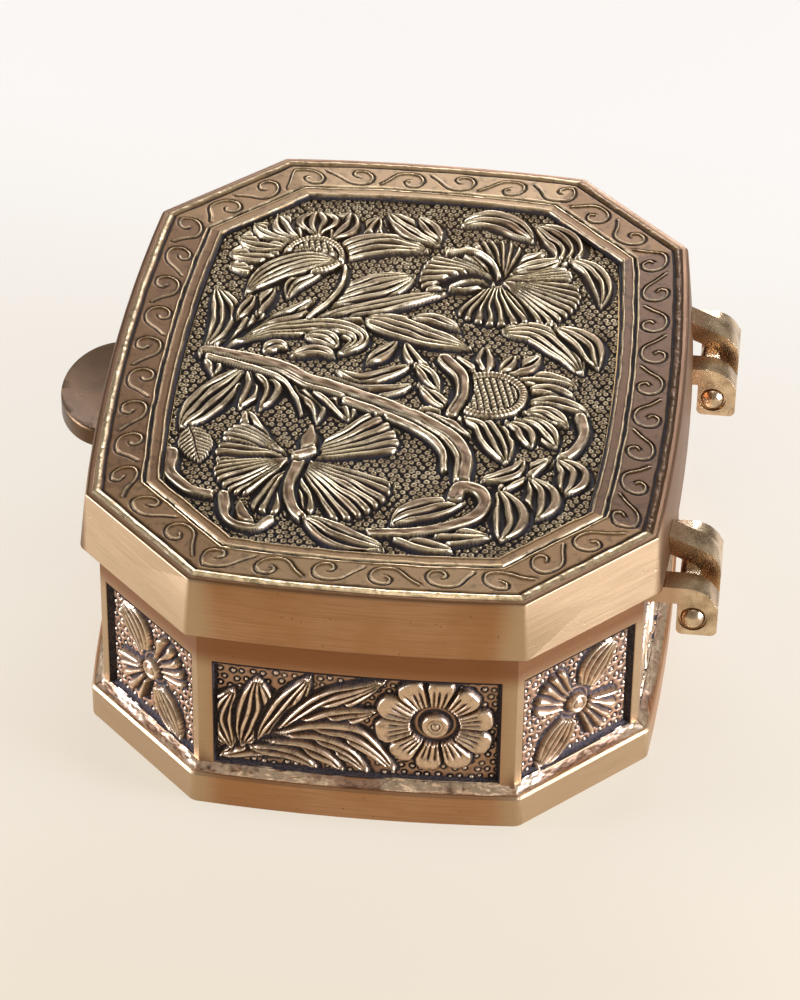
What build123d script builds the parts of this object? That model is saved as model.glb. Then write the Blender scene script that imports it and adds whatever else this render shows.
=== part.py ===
"""Cast brass paan box: an eight-sided box with a hinged, telescoping lid and a lift-out tray.

Row frame: origin at the middle of the underside, +Z up, +X along the length of the box,
-Y towards the thumb tab (front) and +Y towards the hinges (back). Millimetres.
"""
from build123d import *
import os
from math import sqrt

os.makedirs("parts", exist_ok=True)

# ---------------------------------------------------------------- driving sizes
box_height = 60.0          # underside of the foot to the top of the lid
lid_length = 157.0         # over the two ends of the lid's top edge
lid_width = 120.0          # over the two long sides of the lid's top edge
corner_cut = 25.5          # length taken off each side at a corner
end_bow = 1.6              # how far the middle of an end swells out
side_bow = 2.4             # how far the middle of a long side swells out

# lid
lid_side = 14.0            # height of the lid's rim
rim_flare = 1.5            # the rim stands wider at its lower edge
rim_wall = 2.0
lid_plate_thickness = 3.5
seam_gap = 0.1             # brazed joints between castings of one body
seam_chamfer = 0.5         # broken edges either side of the seam on the lid's top
frame_line_inset = 12.6    # engraved line round the scroll border, from the lid's edge
frame_line_width = 1.4
frame_line_depth = 0.7
field_inset = 15.8         # edge of the sunken carved field, from the lid's edge
field_depth = 2.2
field_thickness = 1.0      # carved panel, to the ground of its carving
field_relief = 1.2         # its main leaves and flowers, above that ground
field_gap = 0.3            # black line round the carved panel

# walls
overhang = 3.9             # the lid's lower edge stands this far outside the walls
wall_thickness = 5.0
side_post = 3.2            # frame left at each end of a bowed wall, beside its window
corner_post = 2.0          # the same on the short walls across the corners
bottom_rail = 1.3
top_rail = 19.7            # its lower part shows below the lid and carries the hinge ears
window_depth = 2.4
relief_recess = 1.5        # ground of the carving, below the face of the wall
form_recess = 0.3          # tops of its leaves and flowers, below the face of the wall
relief_end_gap = 1.3
relief_edge_gap = 0.3

# foot
foot_height = 7.7
foot_projection = 2.7      # past the face of the walls
foot_width = 14.0
floor_thickness = 3.0
foot_edge_break = 0.5
foot_corner_round = 3.0

# thumb tab
tab_length = 34.0
tab_reach = 10.0           # past the swollen middle of the rim's lower edge
tab_thickness = 4.4
tab_edge_round = 0.8
tab_offset = 2.0           # hand-set a little off the middle
tab_lift = 0.3             # above the lid's lower edge
tab_dish = 1.0             # depth of the finger hollow in its top

# main forms of the carving, each leaf or petal as its root, its middle, its tip and half its
# width; on the lid the first of a pair runs towards the hinges and the second towards -X
lid_discs = (((-23.2, 40.0), 7.1), ((20.3, -7.3), 8.7))
lid_leaves = (
    # daisy in the far left corner, with the leaves that hang from it
    ((-28.5, 38.5), (-35.5, 37.5), (-42.0, 34.5), 3.2),
    ((-28.5, 42.0), (-35.0, 44.0), (-41.5, 45.0), 3.2),
    ((-27.5, 45.0), (-33.0, 49.5), (-38.5, 52.5), 3.2),
    ((-24.5, 46.5), (-26.5, 52.0), (-26.5, 57.0), 3.6),
    ((-20.0, 45.5), (-15.5, 51.0), (-12.0, 56.0), 3.0),
    ((-18.5, 39.0), (-9.5, 47.5), (2.0, 45.0), 3.2),
    ((-19.0, 38.0), (-30.0, 34.5), (-37.0, 23.5), 3.4),
    # leaves along the far edge
    ((4.3, 45.0), (-2.5, 53.5), (-9.0, 58.8), 3.0),
    ((8.2, 56.0), (18.0, 58.5), (24.6, 49.7), 2.6),
    ((29.5, 42.0), (33.0, 51.0), (25.0, 58.0), 4.2),
    ((33.3, 45.4), (40.5, 38.0), (42.0, 28.0), 2.4),
    # hibiscus
    ((18.5, 33.0), (19.0, 26.5), (18.7, 20.0), 8.0),
    ((20.0, 34.0), (28.5, 33.0), (37.5, 28.0), 7.0),
    ((19.0, 38.0), (18.3, 45.0), (16.2, 52.0), 7.2),
    ((18.0, 36.7), (10.0, 42.0), (1.2, 38.2), 5.2),
    ((20.0, 37.0), (28.0, 41.0), (35.7, 43.2), 2.6),
    # blades that fan out from the left, and the leaves on the right
    ((-41.7, 1.5), (-38.0, 13.0), (-41.3, 21.7), 3.2),
    ((-39.0, 2.0), (-28.0, 11.5), (-17.0, 21.7), 2.2),
    ((-18.6, 20.3), (-10.0, 27.5), (0.2, 33.2), 3.6),
    ((-22.0, 15.0), (-7.0, 23.0), (8.0, 29.5), 2.4),
    ((-39.6, 2.4), (-23.0, 13.0), (-10.0, 8.1), 3.2),
    ((-8.4, 17.0), (3.0, 13.5), (14.7, 9.0), 4.0),
    ((21.7, 16.2), (32.0, 13.5), (40.0, 2.4), 3.6),
    # main stem and the leaves beside it
    ((-42.0, 0.6), (-20.0, -7.0), (0.0, -14.9), 2.0),
    ((-1.0, -14.4), (10.5, -21.0), (17.4, -36.7), 2.0),
    ((-42.3, -25.0), (-37.0, -14.0), (-32.4, -4.4), 3.2),
    ((-24.0, -5.0), (-17.0, -13.0), (-14.9, -22.2), 2.6),
    ((-18.8, -9.3), (-12.0, -13.0), (-7.7, -19.8), 2.6),
    ((-17.8, -4.8), (-7.5, -9.0), (4.3, -6.0), 2.2),
    ((3.8, -15.0), (12.0, -16.5), (18.7, -23.5), 2.6),
    ((15.9, -16.0), (22.3, -21.5), (25.0, -30.5), 3.6),
    # fan-shaped flower near the front
    ((-13.7, -34.0), (-6.2, -30.5), (3.5, -27.0), 5.4),
    ((-19.1, -34.2), (-26.0, -30.0), (-34.0, -25.0), 4.6),
    ((-19.1, -37.2), (-26.0, -42.5), (-33.6, -46.1), 5.2),
    ((-19.3, -38.6), (-21.8, -46.0), (-24.7, -54.0), 4.2),
    ((-15.8, -39.0), (-13.9, -46.3), (-12.0, -54.0), 3.0),
    ((-14.0, -38.0), (-5.8, -43.2), (2.7, -48.2), 6.2),
    ((-13.1, -35.7), (-4.6, -36.3), (5.0, -37.4), 2.6),
    # sprig on the right, and the stems and leaves along the front
    ((41.0, -13.5), (39.5, -27.5), (22.2, -42.0), 1.6),
    ((35.3, -29.0), (30.5, -36.0), (24.5, -43.8), 2.4),
    ((37.0, -28.6), (40.0, -33.5), (39.2, -40.0), 3.2),
    ((31.5, -36.3), (34.0, -42.0), (33.6, -48.4), 3.4),
    ((25.5, -41.0), (28.3, -48.5), (27.8, -56.3), 3.3),
    ((-16.5, -36.0), (-14.5, -50.0), (-2.0, -57.5), 1.6),
    ((21.5, -42.0), (17.0, -53.5), (-2.0, -57.3), 1.7),
    ((4.8, -54.2), (9.3, -50.0), (19.0, -45.3), 3.0),
    ((0.0, -57.0), (12.0, -57.5), (24.7, -56.5), 2.2),
    ((-30.3, -48.2), (-28.0, -55.0), (-24.7, -60.4), 3.2),
)
# rings of petals: how many, from and to which radius, half width, first angle and turn between
seed_petals = (9, 8.0, 16.5, 2.5, -72.0, 25.0)
wall_flower = (11, 4.4, 12.2, 3.0, 10.0, 360.0 / 11)
wall_flower_centre = (16.5, 15.2)  # along the wall from its middle, and up from the panel's foot
wall_flower_boss = 3.1
wall_flower_shift = 18.5   # each flower and spray on a long side, from the middle of the wall
# the four petals of a corner panel: angle, reach and half width
corner_petals = ((51.0, 15.6, 4.2), (231.0, 15.6, 4.2), (140.0, 12.6, 4.6), (-40.0, 12.6, 4.6))
corner_flower_height = 13.4
corner_flower_boss = 2.5
# the spray of leaves beside a wall's flower, in the same places as wall_flower_centre
wall_leaves = (
    ((-28.0, 2.0), (-21.0, 4.2), (-13.0, 3.4), 1.8),
    ((-25.5, 4.0), (-27.0, 12.0), (-25.2, 20.5), 3.2),
    ((-23.6, 4.6), (-20.8, 14.0), (-20.4, 24.2), 3.4),
    ((-21.0, 6.0), (-15.8, 15.6), (-9.6, 25.2), 2.6),
    ((-18.5, 8.0), (-8.0, 17.0), (4.6, 25.2), 2.6),
    ((-16.0, 9.0), (-6.0, 13.8), (3.6, 17.4), 2.2),
    ((-20.0, 7.0), (-5.0, 10.0), (7.2, 2.2), 2.6),
    ((-21.0, 5.6), (-9.0, 7.2), (-0.4, 1.2), 2.2),
)

# hinges
hinge_end_inset = 39.5     # middle of each hinge, in from the lid's end
pin_standoff = 8.0         # pin's axis outside the lid's top edge
pin_drop = 9.0             # pin's axis below the lid's lower edge
pin_diameter = 4.4
head_diameter = 5.4
head_height = 1.9
ear_width = 5.5
arm_width = 6.0
knuckle_gap = 3.2
hook_thickness = 4.2
hook_bend = 4.6            # radius of the bend, at the middle of the strap
eye_wall = 1.2             # metal round the pin, on the side next to the box
eye_drop = 4.2             # lower end of the strap below the pin's axis
eye_corner = 1.4
hook_reach = 5.2           # outer face of the strap past the pin's axis
ear_clearance = 1.0        # top of the ears below the lid's lower edge
arm_rise = 5.2             # root of the lid's arm above the lid's lower edge
arm_shoulder = 1.6         # middle of the arm's outer bend above the lid's lower edge
ear_fit = 0.03             # radial
arm_fit = 0.08             # radial
sink_depth = 0.7           # the pin's heads sit in shallow sinks in the ears
sink_margin = 0.35         # radial, round the head

# tray
tray_drop = 4.5            # the tray's rim below the tops of the walls
tray_sheet = 1.5
tray_clearance = 0.6       # to the walls
tray_depth = 16.0
divider_sheet = 1.2
divider_drop = 2.0         # dividers below the tray's rim
sheet_gap = 0.05
pot_bay = 44.0             # length of each small bay at the back
rest_leg = 9.0
rest_thickness = 2.5
lift_tab_width = 18.0
lift_tab_height = 2.2

# lidded pots
pot_diameter = 34.0
pot_height = 11.5
pot_sheet = 1.4
pot_lid_thickness = 1.6
pot_lid_overlap = 0.8
pot_lid_lip = 2.0
pot_lid_clearance = 0.3
knob_diameter = 5.0
knob_height = 2.6
knob_round = 0.8

# ---------------------------------------------------------------- derived places
half_length = lid_length / 2
half_width = lid_width / 2
lid_bottom = box_height - lid_side
plate_bottom = box_height - lid_plate_thickness
wall_inset = overhang - rim_flare
wall_back = wall_inset + wall_thickness
wall_top = plate_bottom
foot_inset = wall_inset - foot_projection
window_top = wall_top - top_rail
window_bottom = foot_height + bottom_rail
window_height = window_top - window_bottom
pin_y = half_width + pin_standoff
pin_z = lid_bottom - pin_drop
hook_y = pin_y + hook_reach - hook_thickness / 2
eye_inner = pin_diameter / 2 + eye_wall
hinge_place = half_length - hinge_end_inset
knuckle_pitch = (ear_width + arm_width) / 2 + knuckle_gap
tray_inset = wall_back + tray_clearance
tray_top = wall_top - tray_drop
tray_floor_height = tray_top - tray_depth
tray_bottom = tray_floor_height + tray_sheet
divider_top = tray_top - divider_drop
through = 2.0              # cutters run this far past what they cut


def bow_radius(chord, bow):
    """Radius of the arc that swells out by bow over its chord."""
    return (chord ** 2 / 4 + bow ** 2) / (2 * bow)


def swell(chord, bow, reach, inset):
    """Half the length of a bowed side moved in by inset, and how far out its middle stands."""
    radius = bow_radius(chord, bow)
    centre = reach + bow - radius
    cut_line = half_length + half_width - corner_cut - inset * sqrt(2) - centre
    half = (cut_line - sqrt(2 * (radius - inset) ** 2 - cut_line ** 2)) / 2
    return half, reach + bow - inset


def corners(inset):
    """The eight corners of the outline, moved in by inset, from the +X end round."""
    cut_line = half_length + half_width - corner_cut - inset * sqrt(2)
    y = swell(lid_width - 2 * corner_cut, end_bow, half_length, inset)[0]
    x = swell(lid_length - 2 * corner_cut, side_bow, half_width, inset)[0]
    quarter = [(cut_line - y, y), (x, cut_line - x)]
    half = quarter + [(-u, v) for u, v in reversed(quarter)]
    return [(cut_line - y, -y)] + half + [(u, -v) for u, v in reversed(half[1:])]


def outline(inset, height):
    """The box's outline moved in by inset: eight sides, with the four long ones bowed."""
    end_middle = swell(lid_width - 2 * corner_cut, end_bow, half_length, inset)[1]
    side_middle = swell(lid_length - 2 * corner_cut, side_bow, half_width, inset)[1]
    middles = {0: (end_middle, 0), 2: (0, side_middle), 4: (-end_middle, 0), 6: (0, -side_middle)}
    points = corners(inset)
    with BuildSketch(Plane.XY.offset(height)) as face:
        with BuildLine():
            for side, start in enumerate(points):
                end = points[(side + 1) % 8]
                if side in middles:
                    ThreePointArc(start, middles[side], end)
                else:
                    Line(start, end)
        make_face()
    return face.sketch


def side_plane(side, height=0.0):
    """A plane on the straight side of the wall's face: X along it, Y up, Z outwards."""
    points = corners(wall_inset)
    start = Vector(*points[side])
    along = Vector(*points[(side + 1) % 8]) - start
    middle = start + along * 0.5 + Vector(0, 0, height)
    return Plane(middle, x_dir=along, z_dir=along.cross(Vector(0, 0, 1)))


def side_length(side):
    """Length of one side along the wall's face."""
    points = corners(wall_inset)
    return (Vector(*points[(side + 1) % 8]) - Vector(*points[side])).length


def mitre(side):
    """The wedge that keeps one wall of the ring, cut on the corners' mitre lines."""
    outer = corners(wall_inset - through - side_bow)
    inner = corners(wall_back + through)
    ends = (side, (side + 1) % 8)
    with BuildSketch(Plane.XY.offset(foot_height)) as wedge:
        with BuildLine():
            Polyline(outer[ends[0]], outer[ends[1]], inner[ends[1]], inner[ends[0]], close=True)
        make_face()
    return wedge.sketch


def panel_length(side, end_gap=relief_end_gap):
    """Length of one wall's window, less a gap at each end."""
    post = corner_post if side % 2 else side_post
    return side_length(side) - 2 * post - 2 * end_gap


def window(side, end_gap=0.0, edge_gap=0.0):
    """The window's rectangle on one wall, narrowed by the gaps round a carved panel."""
    width = panel_length(side, end_gap)
    with BuildSketch(side_plane(side, window_bottom + window_height / 2)) as opening:
        Rectangle(width, window_height - 2 * edge_gap)
    return opening.sketch


def leaf(root, middle, tip, half_width):
    """The outline of a leaf or petal: an arc down each side of its middle, meeting at its ends."""
    along = (Vector(*tip) - Vector(*root)).normalized()
    out = Vector(-along.Y, along.X) * half_width
    with BuildSketch() as form:
        with BuildLine():
            ThreePointArc(root, Vector(*middle) + out, tip)
            ThreePointArc(tip, Vector(*middle) - out, root)
        make_face()
    return form.sketch


def petals(centre, count, inner, outer, half_width, first, turn):
    """Petals set round a centre, from the first angle on by equal turns."""
    with BuildSketch() as ring:
        with Locations(centre):
            with PolarLocations(0, count, start_angle=first, angular_range=turn * count):
                add(leaf((inner, 0), ((inner + outer) / 2, 0), (outer, 0), half_width))
    return ring.sketch


def wall_carving(side):
    """The leaves and flowers of one wall panel, kept inside its window."""
    with BuildSketch(side_plane(side, window_bottom + relief_edge_gap)) as carving:
        if side % 2:
            centre = (0, corner_flower_height)
            flip = 1 if side in (1, 5) else -1  # mirrored across each end
            for angle, reach, half_width in corner_petals:
                with Locations(Location(centre, 90 + flip * (angle - 90))):
                    add(leaf((0, 0), (reach / 2, 0), (reach, 0), half_width))
            with Locations(centre):
                Circle(corner_flower_boss)
        else:
            shifts = (0,) if side in (0, 4) else (-wall_flower_shift, wall_flower_shift)
            for shift in shifts:
                flip = -1 if shift > 0 else 1
                for root, middle, tip, half_width in wall_leaves:
                    places = [(shift + flip * x, y) for x, y in (root, middle, tip)]
                    add(leaf(*places, half_width))
                centre = (shift + flip * wall_flower_centre[0], wall_flower_centre[1])
                add(petals(centre, *wall_flower))
                with Locations(centre):
                    Circle(wall_flower_boss)
        with Locations((0, window_height / 2 - relief_edge_gap)):
            Rectangle(panel_length(side), window_height - 2 * relief_edge_gap, mode=Mode.INTERSECT)
    return carving.sketch


def finish(part, name):
    """Label one finished piece and write its STEP file."""
    part.label = name
    export_step(part, "parts/" + name + ".step")


# ---------------------------------------------------------------- foot and floor
with BuildPart() as foot_band:
    extrude(outline(foot_inset, 0), amount=foot_height)
    fillet(foot_band.edges().filter_by(Axis.Z), foot_corner_round)
    chamfer(foot_band.edges().group_by(Axis.Z)[-1], foot_edge_break)
    extrude(outline(foot_inset + foot_width, 0), amount=foot_height, mode=Mode.SUBTRACT)
finish(foot_band.part, "foot_band")

with BuildPart() as floor_plate:
    extrude(outline(foot_inset + foot_width + seam_gap, 0), amount=floor_thickness)
finish(floor_plate.part, "floor_plate")

# ---------------------------------------------------------------- walls and their carved panels
side_names = [
    "end_right", "corner_back_right", "back", "corner_back_left",
    "end_left", "corner_front_left", "front", "corner_front_right",
]

for side, side_name in enumerate(side_names):
    with BuildPart() as wall:
        extrude(outline(wall_inset, foot_height), amount=wall_top - foot_height)
        extrude(outline(wall_back, foot_height), amount=wall_top - foot_height, mode=Mode.SUBTRACT)
        extrude(mitre(side), amount=wall_top - foot_height, mode=Mode.INTERSECT)
        with BuildPart(mode=Mode.PRIVATE) as pocket:
            extrude(window(side), amount=wall_thickness + side_bow, both=True)
            extrude(outline(wall_inset + window_depth, 0), amount=box_height, mode=Mode.SUBTRACT)
        add(pocket.part, mode=Mode.SUBTRACT)
    finish(wall.part, "wall_" + side_name)

    with BuildPart() as relief:
        panel = window(side, relief_end_gap, relief_edge_gap)
        extrude(panel, amount=wall_thickness + side_bow, both=True)
        extrude(outline(wall_inset + relief_recess, 0), amount=box_height, mode=Mode.INTERSECT)
        with BuildPart(mode=Mode.PRIVATE) as forms:
            extrude(wall_carving(side), amount=wall_thickness + side_bow, both=True)
            extrude(outline(wall_inset + form_recess, 0), amount=box_height, mode=Mode.INTERSECT)
        add(forms.part)
        seat = wall_inset + window_depth - sheet_gap
        extrude(outline(seat, 0), amount=box_height, mode=Mode.SUBTRACT)
    finish(relief.part, "relief_" + side_name)

# ---------------------------------------------------------------- lid
with BuildPart() as lid_rim:
    loft([outline(-rim_flare, lid_bottom), outline(0, box_height)], ruled=True)
    loft([outline(rim_wall - rim_flare, lid_bottom), outline(rim_wall, box_height)],
         ruled=True, mode=Mode.SUBTRACT)
finish(lid_rim.part, "lid_rim")

with BuildPart() as lid_plate:
    extrude(outline(rim_wall + seam_gap, plate_bottom), amount=lid_plate_thickness)
    chamfer(lid_plate.edges().group_by(Axis.Z)[-1], seam_chamfer)
    groove_floor = box_height - frame_line_depth
    with BuildPart(mode=Mode.PRIVATE) as frame_line:
        extrude(outline(frame_line_inset - frame_line_width / 2, groove_floor), amount=through)
        extrude(outline(frame_line_inset + frame_line_width / 2, groove_floor), amount=through,
                mode=Mode.SUBTRACT)
    add(frame_line.part, mode=Mode.SUBTRACT)
    extrude(outline(field_inset, box_height - field_depth), amount=field_depth + through,
            mode=Mode.SUBTRACT)
finish(lid_plate.part, "lid_plate")

with BuildPart() as lid_carved_panel:
    ground = box_height - field_depth + field_thickness
    extrude(outline(field_inset + field_gap, box_height - field_depth), amount=field_thickness)
    with BuildPart(mode=Mode.PRIVATE) as forms:
        with BuildSketch(Plane((0, 0, ground), x_dir=(0, 1, 0), z_dir=(0, 0, 1))):
            for row in lid_leaves:
                add(leaf(*row))
            for centre, radius in lid_discs:
                with Locations(centre):
                    Circle(radius)
            add(petals(lid_discs[1][0], *seed_petals))
        extrude(amount=field_relief)
        extrude(outline(field_inset + field_gap, ground), amount=field_relief, mode=Mode.INTERSECT)
    add(forms.part)
finish(lid_carved_panel.part, "lid_carved_panel")

with BuildPart() as thumb_tab:
    tab_bottom = lid_bottom + tab_lift
    tab_root = half_width + rim_flare
    with BuildSketch(Plane.XY.offset(tab_bottom)):
        with Locations((tab_offset, -tab_root)):
            Ellipse(tab_length / 2, side_bow + tab_reach)
            Rectangle(tab_length, 2 * rim_flare)
    extrude(amount=tab_thickness)
    fillet(thumb_tab.edges().group_by(Axis.Z)[-1], tab_edge_round)
    dish_radius = bow_radius(tab_length, tab_dish)
    dish_top = tab_bottom + tab_thickness + dish_radius - tab_dish
    with Locations((tab_offset, -tab_root, dish_top)):
        Sphere(dish_radius, mode=Mode.SUBTRACT)
    loft([outline(-rim_flare - seam_gap, lid_bottom), outline(-seam_gap, box_height)],
         ruled=True, mode=Mode.SUBTRACT)
finish(thumb_tab.part, "thumb_tab")


# ---------------------------------------------------------------- hinges
def hook(path_points, middle, width, bore):
    """A strap of one thickness that runs out, bends down and ends in a bored, squared eye."""
    with BuildPart() as strap:
        with BuildSketch(Plane.YZ.offset(middle)):
            with BuildLine() as path:
                FilletPolyline(*path_points, radius=hook_bend)
            trace(path.line, line_width=hook_thickness)
            with Locations((pin_y + (hook_reach - eye_inner) / 2, pin_z)):
                RectangleRounded(hook_reach + eye_inner, 2 * eye_drop, eye_corner)
            with Locations((pin_y, pin_z)):
                Circle(bore, mode=Mode.SUBTRACT)
        extrude(amount=width / 2, both=True)
    return strap.part


ear_middle_z = lid_bottom - ear_clearance - hook_thickness / 2
ear_path = [(half_width - wall_back, ear_middle_z), (hook_y, ear_middle_z), (hook_y, pin_z)]
arm_path = [
    (half_width - rim_wall, lid_bottom + arm_rise),
    (hook_y, lid_bottom + arm_shoulder - hook_thickness / 2),
    (hook_y, pin_z),
]

for hinge_name, hinge_x in (("right", hinge_place), ("left", -hinge_place)):
    away = 1 if hinge_x > 0 else -1
    for ear_name, turn in (("outer", away), ("inner", -away)):
        ear_x = hinge_x + turn * knuckle_pitch
        with BuildPart() as ear:
            add(hook(ear_path, ear_x, ear_width, pin_diameter / 2 + ear_fit))
            with Locations(Location((ear_x + turn * ear_width / 2, pin_y, pin_z), (0, 90, 0))):
                Cylinder(head_diameter / 2 + sink_margin, 2 * sink_depth, mode=Mode.SUBTRACT)
            extrude(outline(wall_inset - sheet_gap, 0), amount=box_height, mode=Mode.SUBTRACT)
        finish(ear.part, "hinge_ear_" + hinge_name + "_" + ear_name)

    with BuildPart() as arm:
        add(hook(arm_path, hinge_x, arm_width, pin_diameter / 2 + arm_fit))
        loft([outline(-rim_flare - sheet_gap, lid_bottom), outline(-sheet_gap, box_height)],
             ruled=True, mode=Mode.SUBTRACT)
    finish(arm.part, "hinge_arm_" + hinge_name)

    with BuildPart() as pin:
        pin_half = knuckle_pitch + ear_width / 2 - sink_depth
        dome_radius = (head_diameter ** 2 / 4 + head_height ** 2) / (2 * head_height)
        with BuildSketch(Plane.XZ):
            with BuildLine():
                shoulder = (head_diameter / 2, pin_half)
                Polyline((0, 0), (pin_diameter / 2, 0), (pin_diameter / 2, pin_half), shoulder)
                crown = (0, pin_half + head_height)
                RadiusArc(shoulder, crown, -dome_radius)
                Line(crown, (0, 0))
            make_face()
        revolve(axis=Axis.Z)
        mirror(about=Plane.XY)
    pin_place = Location((hinge_x, pin_y, pin_z), (0, 90, 0))
    finish(pin.part.moved(pin_place), "hinge_pin_" + hinge_name)

# ---------------------------------------------------------------- tray
with BuildPart() as tray_rests:
    for side in (1, 3, 5, 7):
        shelf = side_plane(side, tray_floor_height - rest_thickness).offset(-wall_thickness)
        with BuildSketch(Plane(shelf.origin, x_dir=shelf.x_dir, z_dir=(0, 0, 1))):
            Rectangle(2 * rest_leg, rest_leg, align=(Align.CENTER, Align.MIN))
        extrude(amount=rest_thickness)
finish(tray_rests.part, "tray_rests")

with BuildPart() as tray_floor:
    extrude(outline(tray_inset, tray_floor_height), amount=tray_sheet)
finish(tray_floor.part, "tray_floor")

with BuildPart() as tray_rim:
    extrude(outline(tray_inset, tray_bottom), amount=tray_top - tray_bottom)
    extrude(outline(tray_inset + tray_sheet, tray_bottom), amount=tray_top - tray_bottom,
            mode=Mode.SUBTRACT)
finish(tray_rim.part, "tray_rim")

tray_inside = tray_inset + tray_sheet + sheet_gap
tab_back = tray_inside + tray_sheet + sheet_gap
with BuildPart() as long_divider:
    with BuildSketch(Plane.XY.offset(tray_bottom)):
        Rectangle(lid_length, divider_sheet)
    extrude(amount=divider_top - tray_bottom)
    extrude(outline(tab_back, tray_bottom), amount=tray_depth, mode=Mode.INTERSECT)
finish(long_divider.part, "tray_divider_long")

cross_dividers = (("front", 0, -1), ("back_left", -pot_bay / 2, 1), ("back_right", pot_bay / 2, 1))
for divider_name, divider_x, towards in cross_dividers:
    with BuildPart() as cross_divider:
        with BuildSketch(Plane.XY.offset(tray_bottom)):
            root = towards * (divider_sheet / 2 + sheet_gap)
            with Locations((divider_x, root + towards * lid_width / 2)):
                Rectangle(divider_sheet, lid_width)
        extrude(amount=divider_top - tray_bottom)
        extrude(outline(tray_inside, tray_bottom), amount=tray_depth, mode=Mode.INTERSECT)
    finish(cross_divider.part, "tray_divider_" + divider_name)

for tab_name, towards in (("right", 1), ("left", -1)):
    with BuildPart() as lift_tab:
        with BuildSketch(Plane.YZ):
            with Locations((0, divider_top)):
                Rectangle(lift_tab_width, tray_top - divider_top, align=(Align.CENTER, Align.MIN))
            with Locations((0, tray_top)):
                Ellipse(lift_tab_width / 2, lift_tab_height)
        extrude(amount=towards * lid_length)
        extrude(outline(tray_inside, 0), amount=box_height, mode=Mode.INTERSECT)
        extrude(outline(tray_inside + tray_sheet, 0), amount=box_height, mode=Mode.SUBTRACT)
    finish(lift_tab.part, "tray_lift_tab_" + tab_name)

# ---------------------------------------------------------------- lidded pots
pot_y = (half_width - tray_inside) / 2
pot_x = (pot_bay / 2 + half_length - tray_inside) / 2
pot_radius = pot_diameter / 2
lid_radius = pot_radius + pot_lid_overlap
pot_top = tray_bottom + pot_height

for pot_name, place_x in (("lime", -pot_x), ("catechu", pot_x)):
    with BuildPart(Plane((place_x, pot_y, tray_bottom))) as pot:
        Cylinder(pot_radius, pot_height, align=(Align.CENTER, Align.CENTER, Align.MIN))
        with Locations((0, 0, pot_sheet)):
            Cylinder(pot_radius - pot_sheet, pot_height, align=(Align.CENTER, Align.CENTER, Align.MIN),
                     mode=Mode.SUBTRACT)
    finish(pot.part, "pot_" + pot_name)

    with BuildPart(Plane((place_x, pot_y, pot_top))) as pot_lid:
        Cylinder(lid_radius, pot_lid_thickness, align=(Align.CENTER, Align.CENTER, Align.MIN))
        with Locations((0, 0, -pot_lid_lip)):
            lip_radius = pot_radius - pot_sheet - pot_lid_clearance
            Cylinder(lip_radius, pot_lid_lip, align=(Align.CENTER, Align.CENTER, Align.MIN))
        with Locations((0, 0, pot_lid_thickness)):
            Cylinder(knob_diameter / 2, knob_height, align=(Align.CENTER, Align.CENTER, Align.MIN))
        fillet(pot_lid.edges().group_by(Axis.Z)[-1], knob_round)
    finish(pot_lid.part, "pot_lid_" + pot_name)
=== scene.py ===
"""Looks for a cast brass paan box: chased lid, carved walls, brushed rims and filed hinges."""

import math

import bmesh
import bpy
import numpy as np
from mathutils import Euler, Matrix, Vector


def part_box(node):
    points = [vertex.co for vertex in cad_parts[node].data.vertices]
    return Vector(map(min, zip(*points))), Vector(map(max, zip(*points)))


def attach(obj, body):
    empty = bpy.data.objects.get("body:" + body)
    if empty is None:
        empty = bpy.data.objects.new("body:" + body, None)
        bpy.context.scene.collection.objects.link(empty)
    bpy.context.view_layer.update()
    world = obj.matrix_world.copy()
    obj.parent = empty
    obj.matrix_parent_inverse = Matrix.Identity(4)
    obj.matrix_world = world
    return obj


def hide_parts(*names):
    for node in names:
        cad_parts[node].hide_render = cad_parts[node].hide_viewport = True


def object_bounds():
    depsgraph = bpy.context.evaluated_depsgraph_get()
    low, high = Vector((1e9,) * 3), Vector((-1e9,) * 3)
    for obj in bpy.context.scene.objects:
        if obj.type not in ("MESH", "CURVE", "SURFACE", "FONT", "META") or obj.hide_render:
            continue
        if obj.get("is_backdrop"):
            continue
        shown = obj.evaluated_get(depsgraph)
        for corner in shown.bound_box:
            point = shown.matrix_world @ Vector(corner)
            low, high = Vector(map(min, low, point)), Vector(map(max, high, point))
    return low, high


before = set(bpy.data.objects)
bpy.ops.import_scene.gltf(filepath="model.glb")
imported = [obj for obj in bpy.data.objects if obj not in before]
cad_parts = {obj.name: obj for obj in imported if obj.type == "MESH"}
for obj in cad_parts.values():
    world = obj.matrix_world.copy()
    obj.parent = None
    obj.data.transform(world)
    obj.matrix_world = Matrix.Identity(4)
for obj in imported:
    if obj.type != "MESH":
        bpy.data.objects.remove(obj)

bl_info = {
    "name": "Carved brass paan box",
    "version": (1, 0, 0),
    "blender": (4, 5, 0),
    "location": "View3D > Sidebar > Paan box",
    "description": "Carves, engraves and finishes a brass paan box round its fixed frame",
    "category": "Object",
}

MM = 0.001


# ---------------------------------------------------------------- sizes, in mm
SIDE_NAMES = (
    "end_right", "corner_back_right", "back", "corner_back_left",
    "end_left", "corner_front_left", "front", "corner_front_right",
)
# the eight-sided outline that the lid, the walls and the foot share, each at its own inset
LID_LENGTH = 157.0
LID_WIDTH = 120.0
CORNER_CUT = 25.5
END_BOW = 1.6
SIDE_BOW = 2.4
BOWS = (END_BOW, 0.0, SIDE_BOW, 0.0) * 2
CORNER_REACH = (LID_LENGTH + LID_WIDTH) / 2 - CORNER_CUT
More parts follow.
